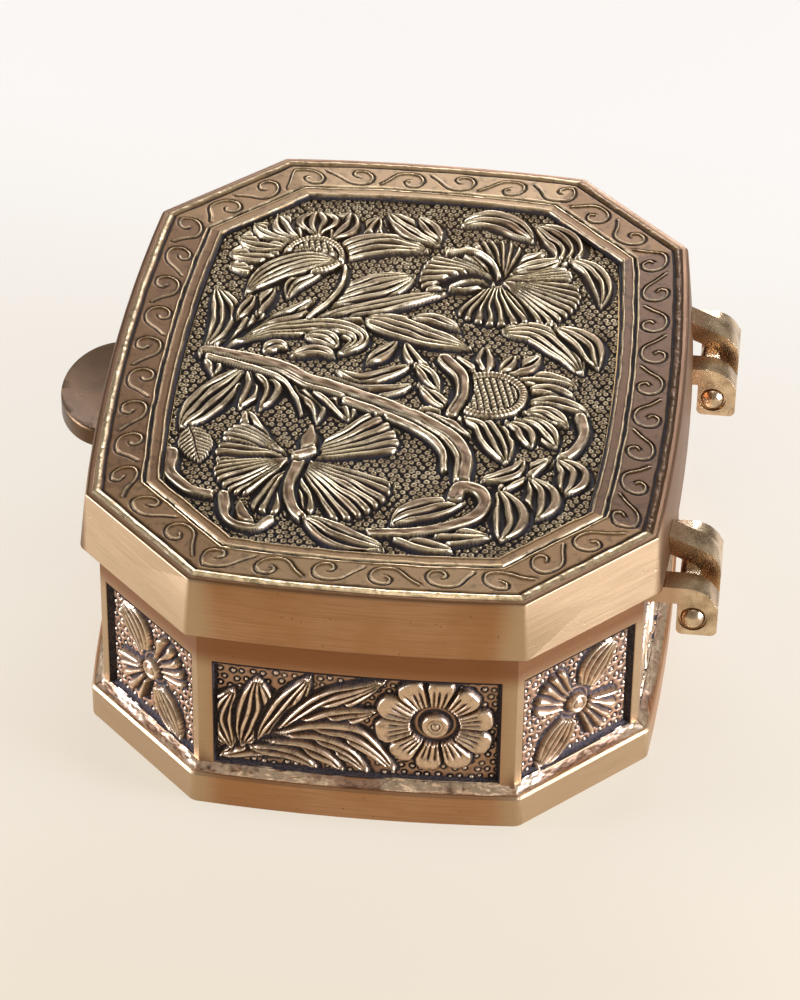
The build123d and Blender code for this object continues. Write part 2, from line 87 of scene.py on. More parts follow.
# the lid: its rim and plate, and the sunken field inside the border
LID_BOTTOM, LID_TOP = (corner[2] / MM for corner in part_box("lid_rim"))
PLATE_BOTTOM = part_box("lid_plate")[0][2] / MM
PLATE_INSET = 2.1
SEAM_INSET = 0.45
SEAM_CLEARANCE = 0.1
FIELD_INSET = 15.8
FIELD_GAP = 0.3
FIELD_BACK = 57.75
FIELD_LEVEL = LID_TOP - 0.35
# the walls, and the windows that hold their carved panels, framed wider on the sides than on the
# cut corners
WALL_INSET = 2.4
WINDOW_DEPTH = 2.35
WINDOW_ENDS = (3.25, 2.05) * 4
RELIEF_RECESS = 0.5
PANEL_CUT = 1.1
PANEL_BRIM = 0.38
# the foot and the bead of braze that lies on its edge
FOOT_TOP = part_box("foot_band")[1][2] / MM
FOOT_INSET = -0.3
FOOT_EDGE = 0.75
BRAZE_RUN = 2.3
BRAZE_RISE = 1.5
BRAZE_LAP = 0.05
BRAZE_SINK = 0.3


def half_side(length, across, bow, inset):
    """Half the length of a bowed side moved in by inset, as the fixed frame draws it."""
    chord = across - 2 * CORNER_CUT
    radius = (chord ** 2 / 4 + bow ** 2) / (2 * bow)
    centre = length / 2 + bow - radius
    cut_line = CORNER_REACH - inset * math.sqrt(2) - centre
    return (cut_line - math.sqrt(2 * (radius - inset) ** 2 - cut_line ** 2)) / 2


def corners(inset):
    """The outline's eight corners, moved in by inset, from the +X end round, in mm."""
    cut_line = CORNER_REACH - inset * math.sqrt(2)
    y = half_side(LID_LENGTH, LID_WIDTH, END_BOW, inset)
    x = half_side(LID_WIDTH, LID_LENGTH, SIDE_BOW, inset)
    quarter = [(cut_line - y, y), (x, cut_line - x)]
    half = quarter + [(-u, v) for u, v in reversed(quarter)]
    return np.array([(cut_line - y, -y)] + half + [(u, -v) for u, v in reversed(half[1:])])


def side_point(side, share, inset):
    """Places on one side of the outline at an inset, share running 0 to 1 along it, in mm."""
    tables = np.array([corners(value) for value in np.unique(inset)])
    row = np.searchsorted(np.unique(inset), inset)
    start = tables[row, side]
    end = tables[row, (side + 1) % 8]
    along = end - start
    outward = np.stack([along[..., 1], -along[..., 0]], axis=-1)
    outward /= np.linalg.norm(outward, axis=-1, keepdims=True)
    bow = BOWS[side] * (1 - (2 * share - 1) ** 2)
    return start + along * share[..., None] + outward * bow[..., None]


# ---------------------------------------------------------------- small helpers
def linear(code):
    """An sRGB hex colour as linear RGBA."""
    parts = [int(code[i:i + 2], 16) / 255 for i in (1, 3, 5)]
    return tuple(c / 12.92 if c <= 0.04045 else ((c + 0.055) / 1.055) ** 2.4 for c in parts) + (1.0,)


def step(low, high, value):
    """Smooth rise from 0 at low to 1 at high."""
    t = np.clip((value - low) / (high - low), 0, 1)
    return t * t * (3 - 2 * t)


def soft_noise(x, y, seed):
    """Soft noise from -1 to 1 with features about one unit across."""
    i, j = np.floor(x), np.floor(y)
    fx, fy = x - i, y - j
    fx, fy = fx * fx * (3 - 2 * fx), fy * fy * (3 - 2 * fy)

    def corner(a, b):
        value = np.sin(a * 127.1 + b * 311.7 + seed * 74.7) * 43758.5453
        return 2 * (value - np.floor(value)) - 1

    low = corner(i, j) * (1 - fx) + corner(i + 1, j) * fx
    high = corner(i, j + 1) * (1 - fx) + corner(i + 1, j + 1) * fx
    return low * (1 - fy) + high * fy


def blur(field, radius):
    """Gaussian blur of a grid, with the radius in cells."""
    reach = int(math.ceil(radius * 2.5))
    kernel = np.exp(-0.5 * (np.arange(-reach, reach + 1) / radius) ** 2)
    kernel /= kernel.sum()
    for axis in (0, 1):
        padding = [(reach, reach) if a == axis else (0, 0) for a in (0, 1)]
        padded = np.pad(field, padding, mode="edge")
        size = field.shape[axis]
        field = sum(w * np.take(padded, range(k, k + size), axis) for k, w in enumerate(kernel))
    return field


def smooth_path(points, steps=10):
    """A curve through a few points, as many short runs."""
    points = np.array(points, float)
    if len(points) == 2:
        points = np.array([points[0], points.mean(axis=0), points[1]])
    spread = np.vstack([2 * points[0] - points[1], points, 2 * points[-1] - points[-2]])
    t = np.linspace(0, 1, steps, endpoint=False)[:, None]
    runs = []
    for a, b, c, d in zip(spread, spread[1:], spread[2:], spread[3:]):
        curve = 2 * b + (c - a) * t + (2 * a - 5 * b + 4 * c - d) * t ** 2
        runs.append(0.5 * (curve + (3 * b - a - 3 * c + d) * t ** 3))
    return np.vstack(runs + [points[-1:]])


def new_piece(name, mesh, body, slot, material, *nodes):
    """Puts a finished mesh in the scene, on its body, with its finish."""
    piece = bpy.data.objects.new(name, mesh)
    bpy.context.scene.collection.objects.link(piece)
    mesh.materials.append(material)
    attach(piece, body)
    if nodes:
        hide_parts(*nodes)
    return piece


# ---------------------------------------------------------------- the chaser's bench
class Carving:
    """A height field in mm over a flat grid of places, worked like a chaser's panel."""

    def __init__(self, x, y, seed=1, wobble=0.25):
        self.x = x + wobble * soft_noise(x / 5, y / 5, seed)
        self.y = y + wobble * soft_noise(x / 5, y / 5, seed + 7)
        self.height = np.zeros_like(x)
        self.punch = np.zeros_like(x)
        self.seed = seed

    def near(self, path, reach):
        """The patch of the grid within reach of a path, and each place's run, side and distance.

        The path's whole length comes last. Where the grid holds none of it, there is no patch.
        """
        low, high = path.min(axis=0) - reach, path.max(axis=0) + reach
        inside = (self.x > low[0]) & (self.x < high[0]) & (self.y > low[1]) & (self.y < high[1])
        rows, columns = np.where(inside.any(axis=1))[0], np.where(inside.any(axis=0))[0]
        if not len(rows) or not len(columns):
            return None
        patch = (slice(rows[0], rows[-1] + 1), slice(columns[0], columns[-1] + 1))
        x, y = self.x[patch], self.y[patch]
        best = np.full(x.shape, 1e9)
        run, side = np.zeros_like(x), np.zeros_like(x)
        travelled = 0.0
        for a, b in zip(path, path[1:]):
            d = b - a
            length = np.hypot(*d)
            t = np.clip(((x - a[0]) * d[0] + (y - a[1]) * d[1]) / length ** 2, 0, 1)
            ex, ey = x - a[0] - t * d[0], y - a[1] - t * d[1]
            distance = np.hypot(ex, ey)
            closer = distance < best
            best = np.where(closer, distance, best)
            run = np.where(closer, travelled + t * length, run)
            side = np.where(closer, np.where(d[0] * ey - d[1] * ex > 0, 1, -1), side)
            travelled += length
        return patch, run, side, best, travelled

    def lay(self, patch, depth_in, top, moat=0.45, moat_floor=-1.0, edge=0.4):
        """Lays one form on the panel: cut steeply at its edge, with a dark moat round it."""
        height = self.height[patch]
        trench = np.minimum(height, moat_floor)
        height = np.where((depth_in < 0) & (depth_in > -moat - edge),
                          trench + (height - trench) * step(-moat, -moat - edge, depth_in), height)
        raised = moat_floor + (top - moat_floor) * step(-0.05, edge, depth_in)
        self.height[patch] = np.where(depth_in > -0.05, raised, height)
        self.punch[patch] = np.where(depth_in > -moat - 0.3 * edge, 0.0, self.punch[patch])

    def punches(self, pitch, ground=-0.8, ring=0.34, dot=0.1, between=-0.25):
        """Ring punches over the whole ground: heights of each ring, its dot and the metal between."""
        x, y = self.x / pitch, self.y / (pitch * 0.87)
        row = np.floor(y)
        nearest = np.full(x.shape, 1e9)
        size = np.ones_like(x)
        for dj in (-1, 0, 1):
            j = row + dj
            shift = 0.5 * (j % 2)
            column = np.floor(x - shift)
            for di in (-1, 0, 1):
                i = column + di
                jx = np.sin(i * 12.9 + j * 78.2 + self.seed) * 43758.5
                jy = np.sin(i * 39.3 + j * 11.1 + self.seed) * 24634.6
                jx, jy = jx - np.floor(jx) - 0.5, jy - np.floor(jy) - 0.5
                cx, cy = (i + 0.5 + shift + 0.35 * jx) * pitch, (j + 0.5 + 0.35 * jy) * pitch * 0.87
                distance = np.hypot(self.x - cx, self.y - cy)
                size = np.where(distance < nearest, 1 + 0.25 * jx, size)
                nearest = np.minimum(nearest, distance)
        r = nearest / size / pitch
        self.height = ground + ring * np.exp(-((r - 0.26) / 0.1) ** 2)
        self.height += dot * np.exp(-(r / 0.12) ** 2) + between * step(0.36, 0.5, r)
        self.punch = np.clip(1 - r / 0.6, 0, 1)

    def leaf(self, points, width, ridges=4, peak=0.5, blunt=0.8, stalk=0.0, level=0.25, crown=0.2,
             groove=1.15, slant=0.0, edge=0.35, rim=0.14, moat=0.6, pitch=1.3, tilt=0.0, gouge=0.22):
        """A gouged leaf or petal along a spine. slant turns its gouges from along it to across it."""
        found = self.near(smooth_path(points), width + 1.2)
        if found is None:
            return
        patch, run, side, distance, length = found
        share = run / length
        skew = np.log(0.5) / np.log(peak)
        body = width * np.sin(np.pi * np.clip(share, 0, 1) ** skew) ** blunt
        half = np.maximum(body, stalk * (1 - share))
        across = side * distance
        depth_in = half - distance
        end = np.clip(np.minimum(run, length - run), 0, None)
        rho = across / np.maximum(half, 0.3)
        if slant:
            phase = (run - slant * distance) / pitch
            fade = step(0.15, 0.6, distance)
        else:
            phase = rho * ridges / 2 + (ridges % 2) / 2 + 0.16 * soft_noise(run / 4, rho * 2, self.seed)
            fade = step(0.22, 0.6, half / max(ridges, 1) * 2) * step(0, 0.9, end + 0.2)
        off = np.abs(phase - np.round(phase))
        spacing = pitch if slant else np.maximum(2 * half / max(ridges, 1), 0.2)
        # each gouge is a lens: wide in its middle, fine at its ends, some longer than others
        lens = np.sin(np.pi * np.clip((end + 0.4) / (length + 0.8), 0, 1)) ** 0.6
        lens = lens * (1 + 0.45 * soft_noise(np.round(phase) * 3.7, run / 9, self.seed + 2))
        wide = np.clip(gouge * spacing * (1 if slant else lens), 0.12, 0.6) + 0.05
        cut = np.exp(-(off * spacing / wide) ** 3) * fade
        if slant:
            cut = np.maximum(cut, np.exp(-(distance / 0.22) ** 2) * 0.7)
        swell = crown * (1 - np.clip(np.abs(rho), 0, 1) ** 2.2)
        top = level + swell + tilt * rho - groove * cut * (1 if ridges or slant else 0)
        top = top + rim * np.exp(-((depth_in - 0.45) / 0.25) ** 2)
        self.lay(patch, depth_in, top, moat=moat, edge=edge)

    def fan(self, centre, reach, first, last, flutes, twist=0.0, level=0.05, crown=0.3, groove=1.05,
            moat=0.6, scallop=0.035, notch=0.13, gouge=0.2, run_out=3.0):
        """A petal that opens like a fan from a flower's centre, fluted and scalloped at its edge."""
        found = self.near(np.array([centre, (centre[0] + 0.01, centre[1])]), reach + 1.2)
        if found is None:
            return
        patch = found[0]
        x, y = self.x[patch], self.y[patch]
        r = np.hypot(x - centre[0], y - centre[1])
        span = math.radians(last - first)
        angle = np.arctan2(y - centre[1], x - centre[0]) - math.radians(twist) * r / reach
        turn = np.mod(angle - math.radians(first) + math.pi - span / 2, 2 * math.pi) - math.pi + span / 2
        share = np.clip(turn / span, 0, 1)
        phase = share * flutes
        phase = phase + 0.3 * soft_noise(r / 5, phase / 1.7, self.seed + int(first)) * np.sin(np.pi * share)
        off = np.abs(phase - np.round(phase))
        rim = reach * (1 - scallop * (1 - 2 * off) ** 2 - notch * np.abs(2 * share - 1) ** 4)
        depth_in = np.minimum(np.minimum(r * turn, r * (span - turn)), rim - r)
        spacing = r * span / flutes
        lens = 1 + 0.5 * soft_noise(np.round(phase) * 3.7, r / 6, self.seed + int(last))
        wide = np.clip(gouge * spacing * lens * (0.7 + 0.6 * r / reach), 0.14, 0.55) + 0.04
        cut = 0.85 * np.exp(-(off * spacing / wide) ** 3) + 0.2 * (1 - 2 * off) ** 1.2
        fold = 0.35 * np.exp(-((share - 0.93) * r * span / 0.5) ** 2)
        bowl = level + 0.3 * r / reach + crown * np.sin(np.pi * share) + fold
        cut = cut * step(0.3, 0.8, spacing) * step(run_out, 0.7 * run_out, r / reach)
        top = bowl - groove * cut - 0.3 * step(1.8, 0, rim - r)
        self.lay(patch, depth_in, top, moat=moat)

    def stem(self, points, width, level=0.25, crown=0.25, taper=0.5, groove=0.0, moat=0.6):
        """A flat-topped ribbon of a stalk with raised edges, thinner towards its end."""
        found = self.near(smooth_path(points), width + 1.2)
        if found is None:
            return
        patch, run, side, distance, length = found
        half = width * (1 - taper * run / length)
        depth_in = half - distance
        rho = np.clip(distance / np.maximum(half, 0.2), 0, 1)
        top = level + crown * (1 - rho ** 3) + 0.1 * np.exp(-((depth_in - 0.35) / 0.2) ** 2)
        top = top + 0.12 * soft_noise(run / 2.3, side * distance / 0.8, self.seed)
        if groove:
            narrow = np.clip(1.3 - run / length, 0.3, 1) * 0.26
            top = top - 2 * groove * np.exp(-((side * distance + half * 0.35) / narrow) ** 2)
        self.lay(patch, depth_in, top, moat=moat)

    def disc(self, centre, radius, collar=0.0, cells=1.45, level=0.3, dome=0.5):
        """A domed seed disc cut with a lattice, in a roped collar."""
        outer = radius + collar
        found = self.near(np.array([centre, (centre[0] + 0.01, centre[1])]), outer + 1.2)
        if found is None:
            return
        patch = found[0]
        x, y = self.x[patch], self.y[patch]
        r = np.hypot(x - centre[0], y - centre[1])
        angle = np.arctan2(y - centre[1], x - centre[0])
        top = level + dome * np.sqrt(np.clip(1 - (r / outer) ** 2, 0, 1))
        if cells:
            p, q = (x + 0.25 * y) / cells, (y - 0.25 * x) / cells
            cut = np.maximum(np.exp(-(np.abs(p - np.round(p)) * cells / 0.19) ** 2),
                             np.exp(-(np.abs(q - np.round(q)) * cells / 0.19) ** 2))
            top = top - 0.75 * cut
        if collar:
            turns = np.round(2 * np.pi * (radius + collar / 2) / 0.95)
            rope = np.abs(np.sin(angle * turns / 2))
            middle = radius + collar / 2
            round_top = np.sqrt(np.clip(1 - ((r - middle) / (collar / 2)) ** 2, 0, 1))
            band = level + 0.55 * round_top - 0.25 * (1 - rope)
            top = np.where(r > radius, band, top)
            top = top - 0.9 * np.exp(-((r - radius) / 0.25) ** 2)
        self.lay(patch, outer - r, top)

    def groove_ring(self, centre, radius, width, depth):
        """A circle cut into what is already there."""
        r = np.hypot(self.x - centre[0], self.y - centre[1])
        self.height -= depth * np.exp(-((r - radius) / width) ** 2)

    def ridge_line(self, points, width, rise, cut, side_of=1):
        """A chased line: metal thrown up in a thin ridge, with a cut along one side."""
        found = self.near(smooth_path(points, 8), width + 1.5)
        if found is None:
            return
        patch, run, side, distance, length = found
        ends = step(0, 0.5, np.minimum(run, length - run) + 0.15)
        ridge = rise * np.exp(-(distance / width) ** 2) * ends
        flank = cut * np.exp(-((side * side_of * distance - 1.9 * width) / (0.7 * width)) ** 2) * ends
        self.height[patch] += ridge - flank


def carved_sheets(name, places, back, marks, parts=1):
    """Closed sheets with a carved face: a fine grid, straight sides and a plain back.

    places and back are (rows, columns, 3) corners of the face and back in mm, and marks is a
    dict of values on the same grid. The sheet is cut into parts along its rows.
    """
    rows = places.shape[0]
    cuts = np.linspace(0, rows - 1, parts + 1).round().astype(int)
    for number, (first, last) in enumerate(zip(cuts, cuts[1:]), start=1):
        face, under = places[first:last + 1], back[first:last + 1]
        count = face.shape[:2]
        bm = bmesh.new()
        bmesh.ops.create_grid(bm, x_segments=count[1] - 1, y_segments=count[0] - 1, size=1)
        edges = [edge for edge in bm.edges if edge.is_boundary]
        skirt = bmesh.ops.extrude_edge_only(bm, edges=edges)["geom"]
        for vertex in (part for part in skirt if isinstance(part, bmesh.types.BMVert)):
            vertex.co.z = -1
        for edge in edges:
            edge.smooth = False
        rim = [edge for edge in bm.edges if edge.is_boundary]
        floor = bmesh.ops.edgeloop_fill(bm, edges=rim)["faces"]
        for edge in rim:
            edge.smooth = False
        for part in bm.faces:
            part.smooth = True
        for part in floor:
            part.smooth = False
        mesh = bpy.data.meshes.new(name)
        bm.to_mesh(mesh)
        bm.free()
        grid = np.empty(len(mesh.vertices) * 3)
        mesh.vertices.foreach_get("co", grid)
        grid = grid.reshape(-1, 3)
        i = np.rint((grid[:, 1] + 1) / 2 * (count[0] - 1)).astype(int)
        j = np.rint((grid[:, 0] + 1) / 2 * (count[1] - 1)).astype(int)
        low = grid[:, 2] < -0.5
        co = np.where(low[:, None], under[i, j], face[i, j])
        mesh.vertices.foreach_set("co", (co * MM).ravel())
        for mark, values in marks.items():
            layer = mesh.attributes.new(mark, "FLOAT", "POINT")
            layer.data.foreach_set("value", np.where(low, 0.0, values[first:last + 1][i, j]))
        mesh.update()
        across = Vector(face[0, -1] - face[0, 0]).cross(Vector(face[-1, 0] - face[0, 0]))
        if across.dot(Vector(face[0, 0] - under[0, 0])) < 0:
            mesh.flip_normals()
        yield name if parts == 1 else f"{name}_{number}", mesh


def wear_highlight_and_grime(height, cell, reach=0.9, datum=0.1, punch=0.0):
    """How much each place is rubbed bright, with a painted highlight along its forms' thin edges, and how
    much black lies in it, from 0 to 1.

    punch is how near a place is to the middle of a ring punch, from 0 to 1.
    """
    cavity = height - blur(height, reach / cell)
    fine = height - blur(height, 0.5 * reach / cell)
    # brink is the thin edges of the forms, where the bright mark is a painted highlight
    brink = height - blur(height, 0.2 / cell)
    standing = 0.16 * (height + datum)
    return {
        "worn": step(0.15, 0.8, 0.15 * cavity + 0.5 * fine + 3.0 * brink + standing),
        "grime": step(0.02, -0.2, 0.7 * cavity + 0.9 * fine + standing),
        "punch": punch + 0 * height,
    }


# ---------------------------------------------------------------- finishes
BLEND = {"data_type": "RGBA"}
SMOOTH = {"interpolation_type": "SMOOTHSTEP"}
# ways across the box that a stain can gather along
UP, ACROSS, TO_CORNERS = (0, 0, 1), (0, 1, 0), (1, 1, 0)


def add_node(tree, kind, settings=(), **inputs):
    """Adds one node, sets its settings, and sets or links its inputs.

    An input is given by its name, with spaces written as _, or by its number after an n.
    """
    node = tree.nodes.new("ShaderNode" + kind)
    for key, value in dict(settings).items():
        setattr(node, key, value)
    for key, value in inputs.items():
        index = int(key[1:]) if key[0] == "n" and key[1:].isdigit() else key.replace("_", " ")
        if isinstance(value, bpy.types.NodeSocket):
            tree.links.new(value, node.inputs[index])
        else:
            node.inputs[index].default_value = value
    return node


def new_finish(name):
    """An empty material and its tree."""
    material = bpy.data.materials.new(name)
    material.use_nodes = True
    material.node_tree.nodes.clear()
    return material, material.node_tree


def dimmed(tone, *shares):
    """A colour darkened by one share, or by one each for its red, green and blue."""
    shares = shares * 3 if len(shares) == 1 else shares
    return tuple(part * share for part, share in zip(tone[:3], shares)) + (1.0,)


def fine_pattern(tree, size, detail=2.0, stretch=(1, 1, 1)):
    """Noise on the object's own coordinates whose grains measure size mm."""
    place = add_node(tree, "TexCoord").outputs["Object"]
    scale = [1 / (size * MM * each) for each in stretch]
    place = add_node(tree, "Mapping", Vector=place, Scale=scale).outputs["Vector"]
    return add_node(tree, "TexNoise", Vector=place, Scale=1.0, Detail=detail).outputs["Fac"]


def antiqued_brass(name, black, body, bright, ring_tone, dot_tone):
    """Cast brass, blackened in an acid bath and rubbed back: its crests shine and its cuts stay dark.

    The carving's own marks say where: rubbed bright on the crests, with a painted highlight along the
    forms' thin edges, grime in the cuts, and punch over the ring punches, each of which has a tone for
    its ring and one for the dot in its middle.
    """
    material, tree = new_finish(name)
    value = {mark: add_node(tree, "Attribute", {"attribute_name": mark}).outputs["Fac"]
             for mark in ("worn", "grime", "punch")}
    value["patch"] = fine_pattern(tree, 6.0, detail=3.0)
    value["speck"] = fine_pattern(tree, 0.5, detail=2.0)
    value["smear"] = fine_pattern(tree, 1.6, detail=4.0)
    for made, source, low, high, least, most in (
        ("rubbing", "speck", 0.25, 0.6, 0.65, 1.0),
        ("smeared", "smear", 0.5, 0.72, 0.0, 0.55),
        ("soot", "speck", 0.7, 0.3, 0.8, 1.0),
        ("ring outside", "punch", 0.36, 0.5, 0.0, 1.0),
        ("ring inside", "punch", 0.84, 0.66, 0.0, 1.0),
        ("dot", "punch", 0.6, 0.85, 0.0, 1.0),
        ("ring strength", "patch", 0.38, 0.66, 0.15, 0.95),
        ("sheen", "worn", 0.0, 1.0, 0.5, 0.34),
        ("dullness", "grime", 0.2, 0.9, 0.3, 0.8),
        ("bare metal", "grime", 0.35, 1.0, 1.0, 0.25),
    ):
        ends = {"From_Min": low, "From_Max": high, "To_Min": least, "To_Max": most}
        value[made] = add_node(tree, "MapRange", SMOOTH, Value=value[source], **ends).outputs[0]
    value["half"] = 0.5
    for made, operation, first, second in (
        ("mottle", "MULTIPLY", "patch", "half"),
        ("shine", "MULTIPLY", "worn", "rubbing"),
        ("dark", "MULTIPLY", "grime", "soot"),
        ("ring line", "MULTIPLY", "ring outside", "ring inside"),
        ("ring", "MULTIPLY", "ring line", "ring strength"),
        ("roughness", "MAXIMUM", "sheen", "dullness"),
        ("metal", "MAXIMUM", "bare metal", "ring"),
    ):
        settings = {"operation": operation}
        value[made] = add_node(tree, "Math", settings, n0=value[first], n1=value[second]).outputs[0]
    # the shine layer is rubbed brass on the crests and a painted highlight along the forms' thin edges
    shade = body
    for share, tone in (("mottle", dimmed(body, 0.72)), ("shine", bright), ("smeared", dimmed(body, 0.3)),
                        ("dark", black), ("dot", dot_tone), ("ring", ring_tone)):
        shade = add_node(tree, "Mix", BLEND, n0=value[share], n6=shade, n7=tone).outputs[2]
    bump = add_node(tree, "Bump", Strength=0.3, Distance=0.05 * MM, Height=value["speck"]).outputs[0]
    surface = add_node(tree, "BsdfPrincipled", Base_Color=shade, Metallic=value["metal"],
                       Roughness=value["roughness"], Normal=bump)
    add_node(tree, "OutputMaterial", Surface=surface.outputs[0])
    return material


def brushed_brass(name, body, tint, stretch=(1, 1, 1), rough=(0.38, 0.5), patches=22.0, stains=()):
    """Cast brass filed and drawn over emery: fine lines along the face, a few pits and nicks.

    Each row of stains gives a way from the box's middle, the two distances along it, in mm, between
    which the stain gathers, how much of the metal it covers at most, and its tone.
    """
    material, tree = new_finish(name)
    lines = fine_pattern(tree, 0.3, detail=3.0, stretch=stretch)
    patch = fine_pattern(tree, patches, detail=4.0)
    pits = fine_pattern(tree, 0.9, detail=1.0)
    layers = [
        (patch, 0.35, 0.65, 0.8, tint),
        (lines, 0.4, 0.75, 0.7, dimmed(body, 0.88)),
        (pits, 0.27, 0.2, 0.7, dimmed(body, 0.25)),
    ]
    place = add_node(tree, "TexCoord").outputs["Object"]
    aside = add_node(tree, "VectorMath", {"operation": "ABSOLUTE"}, n0=place).outputs[0]
    for way, low, high, cover, tone in stains:
        along = add_node(tree, "VectorMath", {"operation": "DOT_PRODUCT"}, n0=aside, n1=way).outputs[1]
        layers.append((along, low * MM, high * MM, cover, tone))
    shade = body
    for value, low, high, cover, tone in layers:
        share = add_node(tree, "MapRange", SMOOTH, Value=value, From_Min=low, From_Max=high, To_Max=cover)
        shade = add_node(tree, "Mix", BLEND, n0=share.outputs[0], n6=shade, n7=tone).outputs[2]
    pitted = add_node(tree, "MapRange", SMOOTH, Value=pits, From_Min=0.2, From_Max=0.3).outputs[0]
    height = add_node(tree, "Math", {"operation": "MULTIPLY_ADD"}, n0=pitted, n1=1.5, n2=lines).outputs[0]
    bump = add_node(tree, "Bump", Strength=0.4, Distance=0.05 * MM, Height=height).outputs[0]
    ends = {"From_Min": 0.2, "From_Max": 0.8, "To_Min": rough[0], "To_Max": rough[1]}
    roughness = add_node(tree, "MapRange", SMOOTH, Value=lines, **ends).outputs[0]
    surface = add_node(tree, "BsdfPrincipled", Base_Color=shade, Metallic=1.0,
                       Roughness=roughness, Normal=bump)
    add_node(tree, "OutputMaterial", Surface=surface.outputs[0])
    return material


# ---------------------------------------------------------------- settings shown in the sidebar
def amount(name, description, default, low, high):
    """A size or scale that a user can change between two limits."""
    return bpy.props.FloatProperty(name=name, description=description, default=default, min=low, max=high)


class CarvingSizes(bpy.types.PropertyGroup):
    """Sizes of the carving that a user would change."""

    field_cell: amount("Field cell", "Grid spacing on the carved field, mm", 0.19, 0.1, 2.0)
    border_cell: amount("Border cell", "Grid spacing on the scroll border, mm", 0.2, 0.1, 2.0)
    wall_cell: amount("Wall cell", "Grid spacing on the wall panels, mm", 0.22, 0.1, 2.0)
    punch_pitch: amount("Ring punches", "Spacing of the ring punches on the lid, mm", 1.75, 1.0, 4.0)
    field_depth: amount("Relief of the field", "Scale of the lid's relief", 1.0, 0.1, 1.5)
    wall_depth: amount("Relief of the walls", "Scale of the walls' relief", 1.1, 0.1, 1.5)


def colour(name, code):
    """A colour that a user can change, given as sRGB hex."""
    return bpy.props.FloatVectorProperty(
        name=name, description=name + " as it looks in plain light", subtype="COLOR", size=4,
        min=0.0, max=1.0, default=linear(code))


class BrassColours(bpy.types.PropertyGroup):
    """Colours of the metal's finishes."""

    black: colour("Blackened recesses", "#14141F")
    body: colour("Antiqued brass", "#70563A")
    # the crests' pale tones are rubbed brass, and also a painted highlight along the carved forms' edges
    crest: colour("Rubbed crests and painted highlight", "#DAC6A0")
    wall: colour("Wall carvings", "#B08A6C")
    wall_crest: colour("Rubbed wall carvings and painted highlight", "#E2C6A4")
    line: colour("Chased lines", "#E4CBA0")
    brushed: colour("Brushed rims", "#A5764D")
    brushed_tint: colour("Brushed rims, paler", "#B58A64")
    # a painted highlight for the cut corners, and the clean metal of the walls under the lid
    rubbed: colour("Highlit corners and clean metal", "#B39571")
    hinge: colour("Worn hinges", "#E6CBA6")
    tab: colour("Handled tab", "#6A5037")
    sheet: colour("Sheet brass", "#CBA468")
    floor: colour("Floor, far", "#F3EEE6")
    floor_near: colour("Floor, near", "#EADCC4")


def sizes():
    """The carving sizes in use."""
    return bpy.context.scene.paan_box_carving


def colours():
    """The finish colours in use."""
    return bpy.context.scene.paan_box_brass


def finish_of(name, make, *arguments, **settings):
    """A finish by name, made the first time that it is asked for."""
    return bpy.data.materials.get(name) or make(name, *arguments, **settings)


def carved_finish():
    """The blackened and rubbed finish of the lid's field, whose ring punches are rubbed bright."""
    c = colours()
    ring = dimmed(c.crest, 0.72)
    return finish_of("antiqued_cast_brass", antiqued_brass, c.black, c.body, c.crest, ring, c.body)


def wall_finish():
    """The redder, less blackened finish of the walls' carvings, with dark rings round bright dots."""
    c = colours()
    return finish_of("antiqued_red_brass", antiqued_brass, c.black, c.wall, c.wall_crest,
                     c.black, c.wall_crest)


# the tone of each strip of the border, which paints light and shade on it: lighter at the ends,
# browner along the long sides and darkest on the back, and how far the bead at its outer edge is
# rubbed bright, in the order of SIDE_NAMES
BORDER_LIT_TONES = ("#856845", "#7B5C39", "#573C22", "#6F5130", "#8F7350", "#836542", "#6E4F2F", "#7B5C39")
EDGE_WEAR = (0.8, 0.7, 0.0, 0.1, 0.35, 0.5, 0.7, 0.8)


def border_finish(side_name):
    """The duller finish of the lid's scroll border, with painted shade darkening the long sides more than the
    ends.
    """
    c = colours()
    ground = linear(BORDER_LIT_TONES[SIDE_NAMES.index(side_name)])
    name = "antiqued_dull_brass_" + side_name
    return finish_of(name, antiqued_brass, c.black, ground, c.line, c.line, ground)


# ---------------------------------------------------------------- the design of the field
# Places are (u, v) in mm from the middle of the lid: u runs right, to the hinges, and v runs away
# from the near end (+X) to the far one. Each leaf has the points of its spine from its root, its
# half width, its flutes, the share of its length at which it is widest, and how steeply the
# flutes slant (0 runs them lengthwise). The groups are carved one over the other.
DAISY = (
    (((-29.5, 38.6), (-36, 36.4), (-43.4, 34.4)), 2.6, 4, 0.6, 0),
    (((-29.8, 41), (-36.5, 41.2), (-44.4, 40)), 2.8, 4, 0.6, 0),
    (((-29.8, 43.5), (-36, 45.4), (-43, 46.2)), 2.7, 4, 0.6, 0),
    (((-29, 46), (-34, 49.6), (-40, 52.4)), 2.6, 4, 0.6, 0),
    (((-18.5, 46.8), (-13.6, 51.5), (-11, 59)), 2.5, 2, 0.55, 0),
    (((-21.3, 48), (-19.2, 53), (-17.6, 59.8)), 2.8, 2, 0.6, 0),
    (((-28, 47.3), (-31.4, 52), (-34.6, 57)), 2.6, 3, 0.6, 0),
    (((-24.6, 48.3), (-25, 53), (-25.4, 59.4)), 3.8, 3, 0.7, 0),
)
